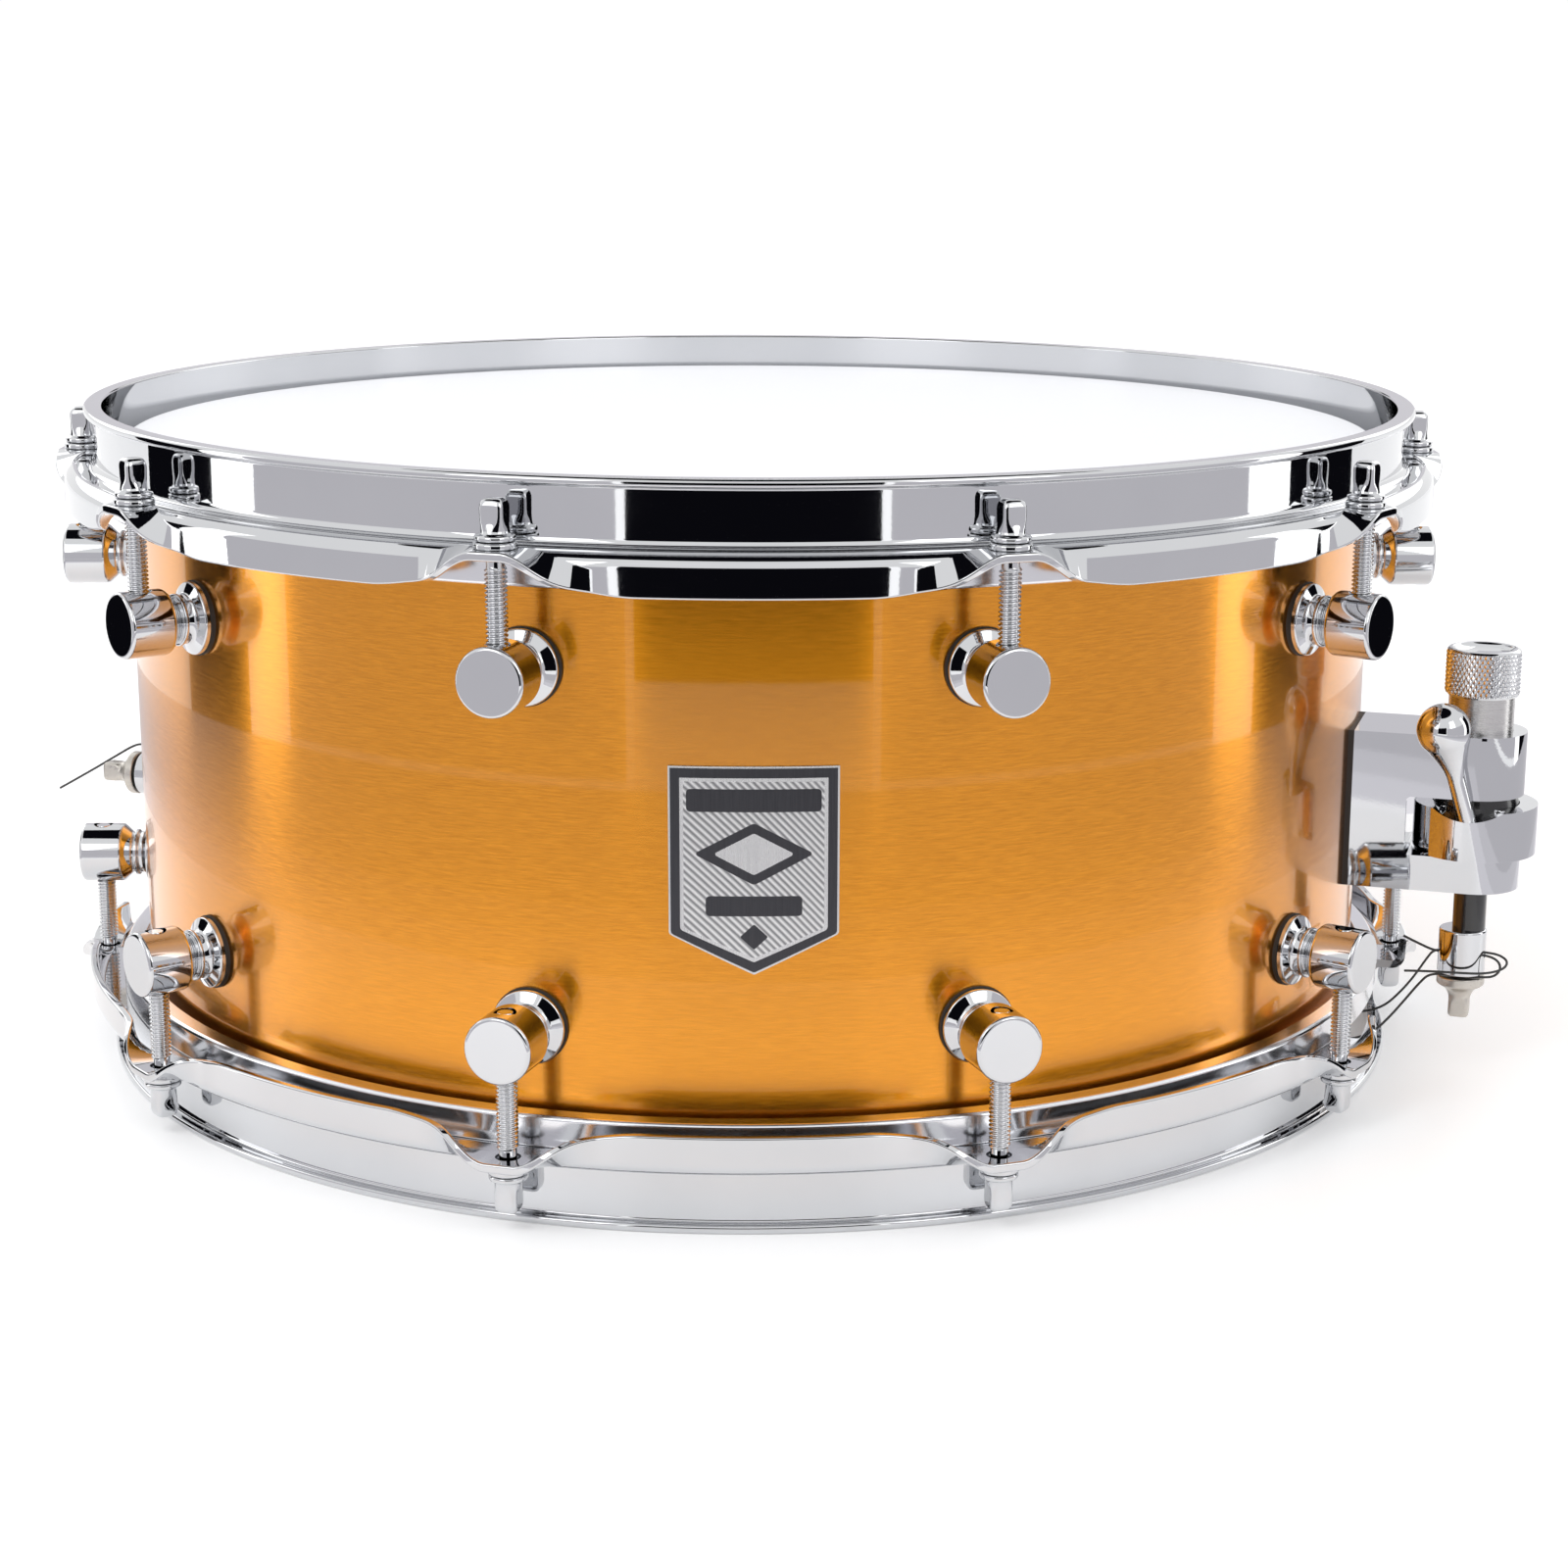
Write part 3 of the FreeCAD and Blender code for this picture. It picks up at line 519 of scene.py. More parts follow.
def hatched_plate():
    """The badge's field: fine slanting lines cut in a bright plate."""
    material, nodes, links, shader = new_material("badge_hatching")
    wave = nodes.new("ShaderNodeTexWave")
    wave.bands_direction = "DIAGONAL"
    fill(wave, {"Scale": 330.0, "Distortion": 0.2})
    links.new(object_coordinates(nodes, links), wave.inputs["Vector"])
    lines = wave.outputs["Fac"]
    links.new(mixed(nodes, links, lines, (0.25, 0.25, 0.26), grey(0.8)), shader.inputs["Base Color"])
    bump(nodes, links, shader, lines, 0.4, 0.0001)
    fill(shader, {"Metallic": 0.8, "Roughness": 0.35})
    return material


def make_materials():
    return {
        "chrome": polished_metal("chrome_plate", (0.6, 0.61, 0.63), (0.66, 0.665, 0.68), 0.015, 0.045),
        "shell": shell_metal(),
        "flesh_hoop": polished_metal("flesh_hoop_alloy", (0.78, 0.79, 0.82), (0.86, 0.86, 0.88), 0.12, 0.2),
        "satin": brushed_metal("satin_steel", (0.55, 0.54, 0.53), (0.7, 0.69, 0.68), (60, 60, 9000), 0.28),
        "key_steel": brushed_metal("key_steel", (0.5, 0.47, 0.43), (0.64, 0.61, 0.56), grey(900), 0.35),
        "zinc": brushed_metal("zinc_steel", (0.6, 0.6, 0.58), (0.72, 0.72, 0.7), grey(700), 0.35),
        "wire": brushed_metal("snare_wire", grey(0.68), grey(0.85), grey(900), 0.22),
        "batter_film": plain_surface("batter_film", (0.86, 0.87, 0.91), (0.93, 0.94, 0.97), 0.5, 900.0, 0.06),
        "clear_film": clear_film(),
        "rubber": plain_surface("black_rubber", grey(0.012), grey(0.03), 0.6, 900.0, 0.15),
        "black_gloss": plain_surface("black_gloss", (0.006, 0.006, 0.007), (0.014, 0.014, 0.015), 0.2,
                                     300.0, 0.02, 0.5),
        "string": plain_surface("string_cord", grey(0.01), grey(0.05), 0.5, 4000.0, 0.5),
        "badge_dark": brushed_metal("badge_dark", (0.05, 0.05, 0.055), (0.09, 0.09, 0.1), (3000, 3000, 90),
                                    0.4),
        "badge_bright": brushed_metal("badge_bright", grey(0.6), grey(0.75), (3000, 3000, 90), 0.25),
        "badge_hatching": hatched_plate(),
    }


# ---- Shell, vent and badge ----

def add_shell():
    inner = SHELL_RADIUS - SHELL_WALL
    top = SHELL_HALF_DEPTH
    mesh = lathe("shell", [
        (SHELL_RADIUS, -top + EDGE_BEVEL, 0.6), (SHELL_RADIUS, top - EDGE_BEVEL, 0.6),
        (SHELL_RADIUS - EDGE_BEVEL, top, 0.5), (inner + EDGE_BEVEL, top, 0.5),
        (inner, top - EDGE_BEVEL, 0.4), (inner, -top + EDGE_BEVEL, 0.4), (inner + EDGE_BEVEL, -top, 0.5),
        (SHELL_RADIUS - EDGE_BEVEL, -top, 0.5),
    ], 480)
    for vertex in mesh.vertices:
        if vertex.co.z < -SNARE_BED_START * MM:
            vertex.co.z += snare_bed_rise(vertex.co / MM) * MM
    vent = lathe_outward("vent_cutter", [(165, 0), (165, VENT_RADIUS), (185, VENT_RADIUS), (185, 0)])
    vent.transform(turned(90, "Z"))
    add_piece("shell_tube", baked(mesh, [vent]), "shell", "drum", ["shell"])


def snare_bed_rise(point):
    """How far the lower bearing edge is cut back at a point, in the two dips for the snare wires."""
    rise = 0.0
    for azimuth in (STRAINER_AZIMUTH, BUTT_AZIMUTH):
        turn = math.radians(azimuth - 90)
        out = point.x * math.cos(turn) + point.y * math.sin(turn)
        along = point.y * math.cos(turn) - point.x * math.sin(turn)
        if out > 0 and abs(along) < SNARE_BED_HALF_WIDTH:
            rise = SNARE_BED_DEPTH * math.cos(along / SNARE_BED_HALF_WIDTH * math.pi / 2)
    return rise


def add_vent():
    mesh = shaded(lathe_outward("vent_grommet", [
        (173.6, VENT_BORE, 0.3), (173.6, 8.0, 0.3), (174.5, 8.0), (174.5, VENT_RADIUS),
        (178.0, VENT_RADIUS), (178.0, 8.5, 0.2), (179.0, 8.5, 0.6), (179.0, VENT_BORE, 0.4),
    ], 0.0, 64))
    add_piece("air_vent", mesh, "chrome", "drum", ["vent_grommet"], at_azimuth(180))


def shield(inset):
    """The badge's outline, moved in by an inset: straight sides and a pointed foot."""
    half = BADGE_HALF_WIDTH - inset
    top = BADGE_TOP - inset
    shoulder = BADGE_SHOULDER + inset * 0.45
    point = BADGE_POINT + inset * 1.15
    return rounded([(-half, top), (half, top), (half, shoulder, 1.2), (0, point, 0.8),
                    (-half, shoulder, 1.2)])


def on_shell(u, z, height):
    """A point of the badge, u round the shell from its front and a height above the shell's surface."""
    angle = u / SHELL_RADIUS
    radius = SHELL_RADIUS + height
    return (radius * math.sin(angle), -radius * math.cos(angle), z)


def curved_plate(name, outline, low, high):
    """A thin plate on the shell, cut in strips so that it follows the curve."""
    work = prism(name, outline, low, high, lambda u, z, height: (u, height, z))
    strips = bpy.data.meshes.new(name)
    grid = bmesh.new()
    grid.from_mesh(work)
    for step in range(-20, 21, 2):
        everything = grid.verts[:] + grid.edges[:] + grid.faces[:]
        bmesh.ops.bisect_plane(grid, geom=everything, plane_co=(step * MM, 0, 0), plane_no=(1, 0, 0))
    for vertex in grid.verts:
        vertex.co = Vector(on_shell(vertex.co.x / MM, vertex.co.z / MM, vertex.co.y / MM)) * MM
    bmesh.ops.recalc_face_normals(grid, faces=grid.faces[:])
    grid.to_mesh(strips)
    grid.free()
    return strips


def add_badge():
    """A shield with a dark border, bright lines, a hatched field, a diamond between two bars and a pip."""
    layers = [
        ("badge_plate", shield(0), 0.0, 0.45, "badge_bright"),
        ("badge_border", shield(0.5), 0.4, 0.6, "badge_dark"),
        ("badge_line", shield(2.8), 0.4, 0.68, "badge_bright"),
        ("badge_field", shield(3.7), 0.4, 0.72, "badge_hatching"),
        ("badge_upper_bar", rounded([(-16.2, 16.9, 1), (16.2, 16.9, 1), (16.2, 11.3, 1), (-16.2, 11.3, 1)]),
         0.6, 0.78, "badge_dark"),
        ("badge_lower_bar", rounded([(-11.6, -9.6, 1), (11.6, -9.6, 1), (11.6, -14.6, 1), (-11.6, -14.6, 1)]),
         0.6, 0.78, "badge_dark"),
        ("badge_diamond", rounded([(-14.5, 0.9, 0.6), (0, 8.6, 1.5), (14.5, 0.9, 0.6), (0, -6.8, 1.5)]),
         0.6, 0.76, "badge_dark"),
        ("badge_diamond_centre", rounded([(-9.8, 0.9, 0.5), (0, 6.1, 1), (9.8, 0.9, 0.5), (0, -4.3, 1)]),
         0.7, 0.8, "badge_bright"),
        ("badge_pip", rounded([(-3.4, -19.8, 0.4), (0, -16.6, 0.4), (3.4, -19.8, 0.4), (0, -23.0, 0.4)]),
         0.6, 0.76, "badge_dark"),
    ]
    for name, outline, low, high, look in layers:
        mesh = shaded(curved_plate(name, outline, low, high), 40)
        add_piece(name, mesh, look, "drum", ["badge"])


# ---- Heads and hoops ----

def add_heads():
    under = HEAD_FACE - FILM
    corners = [
        (0, HEAD_FACE), (60, HEAD_FACE), (120, HEAD_FACE), (177.7, HEAD_FACE, 1.6),
        (COLLAR_OUTER, 74.6, 2.0), (COLLAR_OUTER, FILM_HEM), (COLLAR_INNER, FILM_HEM),
        (COLLAR_INNER, 74.5, 1.6), (177.5, under, 1.2), (120, under), (60, under), (0, under),
    ]
    film = shaded(lathe("head_film", corners, 256))
    clear = film.copy()
    add_piece("batter_drumhead", film, "batter_film", "drum", ["batter_head"])
    add_piece("snare_side_drumhead", clear, "clear_film", "drum", ["snare_side_head"],
              at_azimuth(90, lower=True))
    top = EAR_SEAT - HOOP_SHEET
    ring = shaded(lathe("flesh_hoop", [
        (FLESH_HOOP_INNER, FLESH_HOOP_LOW, 0.4), (FLESH_HOOP_OUTER, FLESH_HOOP_LOW, 1.2),
        (FLESH_HOOP_OUTER, top, 0.5), (COLLAR_OUTER, top), (COLLAR_OUTER, FILM_HEM),
        (COLLAR_INNER, FILM_HEM), (COLLAR_INNER, top), (FLESH_HOOP_INNER, top),
    ], 256))
    for name, lower in (("batter_flesh_hoop", False), ("snare_side_flesh_hoop", True)):
        add_piece(name + "_ring", ring, "flesh_hoop", "drum", [name],
                  at_azimuth(90, lower))


def hoop_section(along):
    """The hoop's outline (radius, height) at a distance along the rim from the nearest ear."""
    bend = math.pi / 2 * smooth_step(along, *BEND_SPAN)
    ear_run = EAR_OUTER - BEND_START
    skirt_run = EAR_SEAT - BEND_RADIUS - SKIRT_EDGE + BEND_RADIUS * math.pi / 2
    reach = ear_run + (skirt_run - ear_run) * smooth_step(along, *DROP_SPAN)
    inner = BAND_OUTER - HOOP_SHEET
    rim = rounded([
        (inner, EAR_SEAT - HOOP_SHEET), (inner, HALF_HEIGHT, 0.6), (LIP_OUTER, HALF_HEIGHT, 1.0),
        (LIP_OUTER, LIP_LOW, 0.9), (BAND_OUTER, LIP_LOW, 0.8), (BAND_OUTER, EAR_SEAT, 2.2),
        (BEND_START, EAR_SEAT),
    ], closed=False)
    hinge = Vector((BEND_START, EAR_SEAT - BEND_RADIUS))
    ahead = Vector((math.cos(bend), -math.sin(bend)))
    across = Vector((math.sin(bend), math.cos(bend)))
    run = reach - BEND_RADIUS * bend - SHEET_EASING
    turns = [bend * step / 10 for step in range(1, 11)]
    outer = [hinge + BEND_RADIUS * Vector((math.sin(turn), math.cos(turn))) for turn in turns]
    low = BEND_RADIUS - HOOP_SHEET
    quarter = (0.0, 0.5, 1.05, 1.57)
    end = []
    for turn in quarter:
        rise = BEND_RADIUS - SHEET_EASING + SHEET_EASING * math.cos(turn)
        end.append(hinge + ahead * (run + SHEET_EASING * math.sin(turn)) + across * rise)
    for turn in quarter:
        rise = low + SHEET_EASING - SHEET_EASING * math.sin(turn)
        end.append(hinge + ahead * (run + SHEET_EASING * math.cos(turn)) + across * rise)
    inside = [hinge + low * Vector((math.sin(turn), math.cos(turn))) for turn in reversed([0.0] + turns)]
    return rim + [tuple(point) for point in outer + end + inside]


def hoop_mesh(name, openings=()):
    """The whole counterhoop, with the ear holes and any other openings cut out."""
    steps_per_lug = 96
    pitch = 2 * math.pi / LUG_COUNT
    rings = []
    for step in range(LUG_COUNT * steps_per_lug):
        share = step / steps_per_lug
        turn = math.radians(FIRST_LUG_AZIMUTH - 90) + share * pitch
        from_ear = abs((share + 0.5) % 1.0 - 0.5) * pitch
        section = hoop_section(from_ear * ROD_CIRCLE)
        out, over = math.cos(turn), math.sin(turn)
        rings.append([(radius * out, radius * over, height) for radius, height in section])
    mesh = ring_mesh(name, rings, loop_of_rings=True)
    holes = [lathe("ear_hole", [(0, 70), (EAR_HOLE_RADIUS, 70), (EAR_HOLE_RADIUS, 79), (0, 79)], 40,
                   local_turn(azimuth) @ shift(ROD_CIRCLE)) for azimuth in lug_azimuths()]
    return baked(mesh, [joined("ear_holes", holes)] + list(openings), sharp_degrees=38)


def local_turn(azimuth):
    return turned(azimuth - 90, "Z")


def joined(name, meshes):
    """One mesh out of several that don't touch."""
    points = []
    faces = []
    for mesh in meshes:
        first = len(points)
        points += [vertex.co / MM for vertex in mesh.vertices]
        faces += [tuple(first + index for index in face.vertices) for face in mesh.polygons]
    return new_mesh(name, points, faces)


def add_hoops():
    upper = hoop_mesh("batter_hoop_rim")
    add_piece("batter_counterhoop", upper, "chrome", "drum", ["batter_hoop"])
    gates = []
    for azimuth in (STRAINER_AZIMUTH, BUTT_AZIMUTH):
        outline = rounded([(-GATE_HALF_WIDTH, 60), (GATE_HALF_WIDTH, 60), (GATE_HALF_WIDTH, GATE_BOTTOM, 3),
                           (-GATE_HALF_WIDTH, GATE_BOTTOM, 3)])
        gate = prism("gate", outline, 180, 210, outwards)
        gate.transform(turned(-180, "X") @ local_turn(azimuth) @ turned(180, "X"))
        gates.append(gate)
    lower = hoop_mesh("snare_side_hoop_rim", gates)
    add_piece("snare_side_counterhoop", lower, "chrome", "drum", ["snare_side_hoop"],
              at_azimuth(90, lower=True))


# ---- Lugs, rods and washers ----

def lug_mesh():
    body = lathe_outward("lug", [
        (LUG_SEAT, 0), (LUG_SEAT, 9.5, 0.2), (180.1, 9.5, 0.6), (181.5, 6.4, 1.6), (183.2, 5.9, 0.2),
        (183.2, 6.8, 0.4), (184.3, 6.8, 0.4), (184.3, 5.9, 0.2), (185.2, 6.1, 0.8),
        (187.8, LUG_RADIUS, 1.4), (LUG_FACE, LUG_RADIUS, 1.0), (LUG_FACE, 0),
    ], LUG_HEIGHT, 96)
    bore = [(0, 25), (LUG_BORE, 25), (LUG_BORE, 36.0), (LUG_BORE, 50.9), (3.4, 54.2), (3.4, 65), (0, 65)]
    hole = lathe("lug_bore", bore, 48, shift(ROD_CIRCLE))
    return baked(body, [hole], sharp_degrees=38)


def gasket_mesh():
    """A flat pad whose back follows the shell."""
    rings = []
    for radius, on_face in ((GASKET_RADIUS, False), (GASKET_RADIUS, True), (3.0, True), (3.0, False)):
        ring = []
        for step in range(72):
            turn = 2 * math.pi * step / 72
            y = radius * math.cos(turn)
            x = LUG_SEAT if on_face else math.sqrt(SHELL_RADIUS ** 2 - y * y)
            ring.append((x, y, LUG_HEIGHT + radius * math.sin(turn)))
        rings.append(ring)
    return shaded(ring_mesh("lug_gasket", rings, loop_of_rings=True))


def squared_ring(half, squareness, height, segments=48):
    """A ring between a circle (squareness 2) and a square with rounded corners (squareness 7)."""
    ring = []
    for step in range(segments):
        turn = 2 * math.pi * step / segments
        across = abs(math.cos(turn)) ** squareness + abs(math.sin(turn)) ** squareness
        radius = half / across ** (1 / squareness)
        ring.append((radius * math.cos(turn), radius * math.sin(turn), height))
    return ring


def thread_ring(height, segments=48):
    ring = []
    for step in range(segments):
        turn = step / segments
        wave = abs(((height / THREAD_PITCH - turn) % 1.0) * 2 - 1)
        radius = ROD_CORE + (THREAD_CREST - ROD_CORE) * smooth_step(wave, 0.12, 0.88)
        ring.append((radius * math.cos(2 * math.pi * turn), radius * math.sin(2 * math.pi * turn), height))
    return ring


def rod_mesh():
    """A tension rod, from its eased tip through the thread, the shank and the flange to the square head."""
    seat = WASHER_TOP + 0.05
    rings = [[(0, 0, ROD_TIP)], squared_ring(1.9, 2, ROD_TIP)]
    rings += [squared_ring(ROD_CORE, 2, 37.1), squared_ring(ROD_CORE, 2, 50.0)]
    height = THREAD_LOW
    while height < THREAD_HIGH:
        rings.append(thread_ring(height))
        height += THREAD_STEP
    rings += [squared_ring(ROD_CORE, 2, 71.9), squared_ring(ROD_CORE, 2, seat)]
    for radius, rise in ((4.5, 0), (4.75, 0.12), (4.9, 0.45), (4.9, 0.9), (4.75, 1.25), (4.4, 1.5),
                         (3.85, 1.62),
                         (3.6, 1.9), (3.5, 2.5)):
        rings.append(squared_ring(radius, 2, seat + rise))
    for half, squareness, top in ((3.35, 2.3, 80.9), (3.12, 3.2, 81.6), (3.0, 4.6, 82.4), (2.95, 6, 83.4),
                                  (2.95, 7, 85.3), (2.9, 6.3, 86.1), (2.72, 5.5, 86.8), (2.4, 4.6, 87.3),
                                  (1.9, 3.8, 87.6), (1.0, 2.6, 87.69)):
        rings.append(squared_ring(half, squareness, top))
    rings.append([(0, 0, HEAD_TOP)])
    return shaded(ring_mesh("tension_rod", rings, matrix=shift(ROD_CIRCLE)), 50)


def washer_mesh():
    corners = [(2.6, EAR_SEAT, 0.2), (WASHER_RADIUS, EAR_SEAT, 0.5), (WASHER_RADIUS, WASHER_TOP - 0.3, 0.7),
               (4.0, WASHER_TOP, 0.6),
               (2.6, WASHER_TOP, 0.2)]
    return shaded(lathe("rod_washer", corners, 64, shift(ROD_CIRCLE)))


def add_lugs_and_rods():
    lug = lug_mesh()
    gasket = gasket_mesh()
    rod = rod_mesh()
    washer = washer_mesh()
    for side, lower in (("upper", False), ("lower", True)):
        for index, azimuth in enumerate(lug_azimuths()):
            number = "%s_%02d" % (side, index + 1)
            place = at_azimuth(azimuth, lower)
            add_piece("lug_" + number, lug, "chrome", "drum", [side + "_lugs"], place)
            add_piece("lug_pad_" + number, gasket, "rubber", "drum", ["lug_gaskets"], place)
            add_piece("washer_" + number, washer, "chrome", "drum", ["rod_washers"], place)
            body = "%s_rod_%02d" % (side, index + 1)
            node = "%s_tension_rod_%02d" % (side, index + 1)
            add_piece("rod_" + number, rod, "chrome", body, [node], place)


# ---- Throw-off strainer ----

def box_mesh(name, low, high):
    (x0, y0, z0), (x1, y1, z1) = low, high
    return prism(name, [(x0, y0), (x1, y0), (x1, y1), (x0, y1)], z0, z1, upright)


def strainer_mesh():
    """The body, with its rounded end, the slot for the collar, and the bores for the knob and the plunger."""
    end = BARREL_CENTRE + BARREL_RADIUS
    outline = rounded([
        (STRAINER_SEAT, -BARREL_RADIUS), (end, -BARREL_RADIUS, BARREL_RADIUS - 0.001),
        (end, BARREL_RADIUS, BARREL_RADIUS - 0.001), (STRAINER_SEAT, BARREL_RADIUS),
    ], degrees_per_step=3)
    block = prism("strainer_body", outline, BODY_BOTTOM, BODY_TOP, upright)
    slot = prism("slot", rounded([
        (SLOT_INNER, SLOT_BOTTOM, 1.4), (240, SLOT_BOTTOM), (240, SLOT_TOP), (SLOT_INNER, SLOT_TOP, 1.4),
    ]), -30, 30, sideways)
    barrel = shift(BARREL_CENTRE)
    neck = lathe("neck_bore", [(0, -9), (9.1, -9), (9.1, 20), (0, 20)], 96, barrel)
    rod = lathe("plunger_bore", [(0, -60), (4.65, -60), (4.65, 0), (0, 0)], 96, barrel)
    mark = box_mesh("index_mark", (213.6, -14, 6.2), (215.0, -11, 9))
    return baked(block, [slot, neck, rod, mark], bevel=0.45, sharp_degrees=30, segments=4)


def block_gasket_mesh(name, seat, half_width, low, high):
    """The pad between a flat-backed block and the shell."""
    steps = 16
    rings = []
    for height in (low, high):
        ring = [(seat, -half_width + 2 * half_width * step / steps, height) for step in range(steps + 1)]
        for step in range(steps + 1):
            y = half_width - 2 * half_width * step / steps
            ring.append((math.sqrt(SHELL_RADIUS ** 2 - y * y), y, height))
        rings.append(ring)
    count = len(rings[0])
    faces = [(step, (step + 1) % count, count + (step + 1) % count, count + step) for step in range(count)]
    faces += [tuple(range(count - 1, -1, -1)), tuple(range(count, 2 * count))]
    return shaded(new_mesh(name, rings[0] + rings[1], faces))


def lever_points():
    """The lever's root and its ball's centre, in the strainer's frame."""
    root = Vector(LEVER_ROOT)
    return root, root + Vector((*LEVER_LEAN, 1)) * LEVER_RISE


LEVER_TURN = shift(BARREL_CENTRE) @ turned(-4, "Z") @ shift(-BARREL_CENTRE)


def lever_mesh():
    """A slim stem that swells into a polished ball."""
    root, ball = lever_points()
    length = (ball - root).length
    swell_start = length - LEVER_SWELL
    ball_start = math.radians(-35)
    profile = [(0, -6.0), (2.1, -6.0), (2.1, -1.0), (LEVER_STEM, 0.5), (LEVER_STEM, swell_start - 4),
               (LEVER_STEM, swell_start - 1)]
    reach = LEVER_BALL * math.cos(ball_start)
    rise = length + LEVER_BALL * math.sin(ball_start) - swell_start
    for step in range(14):
        share = step / 14
        profile.append((LEVER_STEM + (reach - LEVER_STEM) * share ** 2 * (1.45 - 0.45 * share),
                        swell_start + share * rise))
    for step in range(25):
        angle = ball_start + (math.pi / 2 - ball_start) * step / 24
        profile.append((LEVER_BALL * math.cos(angle), length + LEVER_BALL * math.sin(angle)))
    profile[-1] = (0, length + LEVER_BALL)
    rings = [circle(reach, height, 72) for reach, height in profile]
    mesh = ring_mesh("lever", rings)
    turn = (ball - root).to_track_quat("Z", "Y").to_matrix().to_4x4()
    mesh.transform(LEVER_TURN @ Matrix.Translation(root * MM) @ turn)
    return shaded(mesh, 60)


def collar_mesh():
    """The ring round the barrel, scooped where the lever stands."""
    barrel = shift(BARREL_CENTRE)
    ring = lathe("collar", [
        (RING_INNER, RING_LOW), (RING_OUTER, RING_LOW), (RING_OUTER, RING_TOP), (RING_INNER, RING_TOP),
    ], 160, barrel)
    outline = [(0, -22), (SCOOP_RADIUS, -22), (SCOOP_RADIUS, -10), (0, -10)]
    scoop = lathe("scoop", outline, 160, turned(-90, "X"))
    scoop.transform(shift(BARREL_CENTRE, 0, 3.0))
    scoop.transform(LEVER_TURN)
    return baked(ring, [scoop], bevel=0.5, sharp_degrees=30, segments=4)


def knurled_knob_mesh():
    """A knob with a diamond knurl and a dished top, on a long plain neck."""
    knob = [(0, 15.5), (KNOB_BORE, 15.5), (KNOB_BORE, NECK_LOW), (9.0, NECK_LOW), (NECK_RADIUS, -0.6),
            (NECK_RADIUS, NECK_TOP), (NECK_RADIUS, 16.9), (9.8, 16.95),
            (10.1, 17.5)]
    rings = [circle(radius, height, KNOB_SEGMENTS) for radius, height in knob]
    height = KNURL_LOW
    while height < KNURL_TOP:
        rings.append(knurl_ring(height))
        height += KNURL_STEP
    for radius, height in ((10.1, 29.4), (9.7, 29.85), (9.2, 30.0), (8.6, 30.0), (8.2, 29.8), (7.2, 28.9),
                           (0, 28.6)):
        rings.append(circle(radius, height, KNOB_SEGMENTS))
    return shaded(ring_mesh("knob", rings, matrix=shift(BARREL_CENTRE)), 40)


def knurl_ring(height):
    """A ring cut by two crossing sets of grooves."""
    ring = []
    lead = height / (2 * math.pi * KNOB_RADIUS / DIAMONDS) * KNURL_LEAN
    for step in range(KNOB_SEGMENTS):
        turn = step / KNOB_SEGMENTS
        one = abs(((turn * DIAMONDS + lead) % 1.0) * 2 - 1)
        other = abs(((turn * DIAMONDS - lead) % 1.0) * 2 - 1)
        reach = KNOB_RADIUS - KNURL_DEPTH * (1 - min(one, other))
        ring.append((reach * math.cos(2 * math.pi * turn), reach * math.sin(2 * math.pi * turn), height))
    return ring


def key_screw_mesh(name):
    """A clamp screw: shank, wide flange, waisted neck and square head, pointing down from height 0."""
    rings = [[(0, 0, 3.7)]]
    for radius, height in ((2.3, 3.7), (2.4, 3.5), (2.4, 0), (6.4, 0), (6.65, -0.2), (6.7, -0.5), (6.7, -2.2),
                           (6.55, -2.5), (6.1, -2.9), (5.2, -3.4), (4.4, -3.9), (3.9, -4.5), (3.5, -5.2),
                           (3.2, -5.9)):
        rings.append(squared_ring(radius, 2, height, 64))
    for half, squareness, height in ((3.0, 2.8, -6.6), (2.92, 4, -7.2), (2.9, 6, -7.9), (2.9, 7, -10.8),
                                     (2.8, 6, -11.6), (2.5, 5, -12.05), (1.8, 4, -12.2)):
        rings.append(squared_ring(half, squareness, height, 64))
    rings.append([(0, 0, -12.2)])
    rings.reverse()
    return shaded(ring_mesh(name, rings), 50)


def clamp_mesh():
    barrel = shift(CLAMP_CENTRE)
    bottom = PLUNGER_END - CLAMP_LENGTH
    body = lathe("clamp", [
        (0, bottom), (CLAMP_RADIUS, bottom, 0.35), (CLAMP_RADIUS, PLUNGER_END, 0.6), (0, PLUNGER_END),
    ], 128, barrel)
    screw_hole = lathe("screw_hole", [
        (0, bottom - 5), (KEY_SHANK, bottom - 5), (KEY_SHANK, bottom + 3.9), (0, bottom + 3.9),
    ], 48, barrel)
    holes = []
    for y in (-1.5, 1.5):
        hole = lathe_outward("string_hole", [(200, 0), (200, 0.75), (220, 0.75), (220, 0)], -57.7, 24)
        hole.transform(shift(0, y))
        holes.append(hole)
    return baked(body, [screw_hole, joined("string_holes", holes)], sharp_degrees=38)


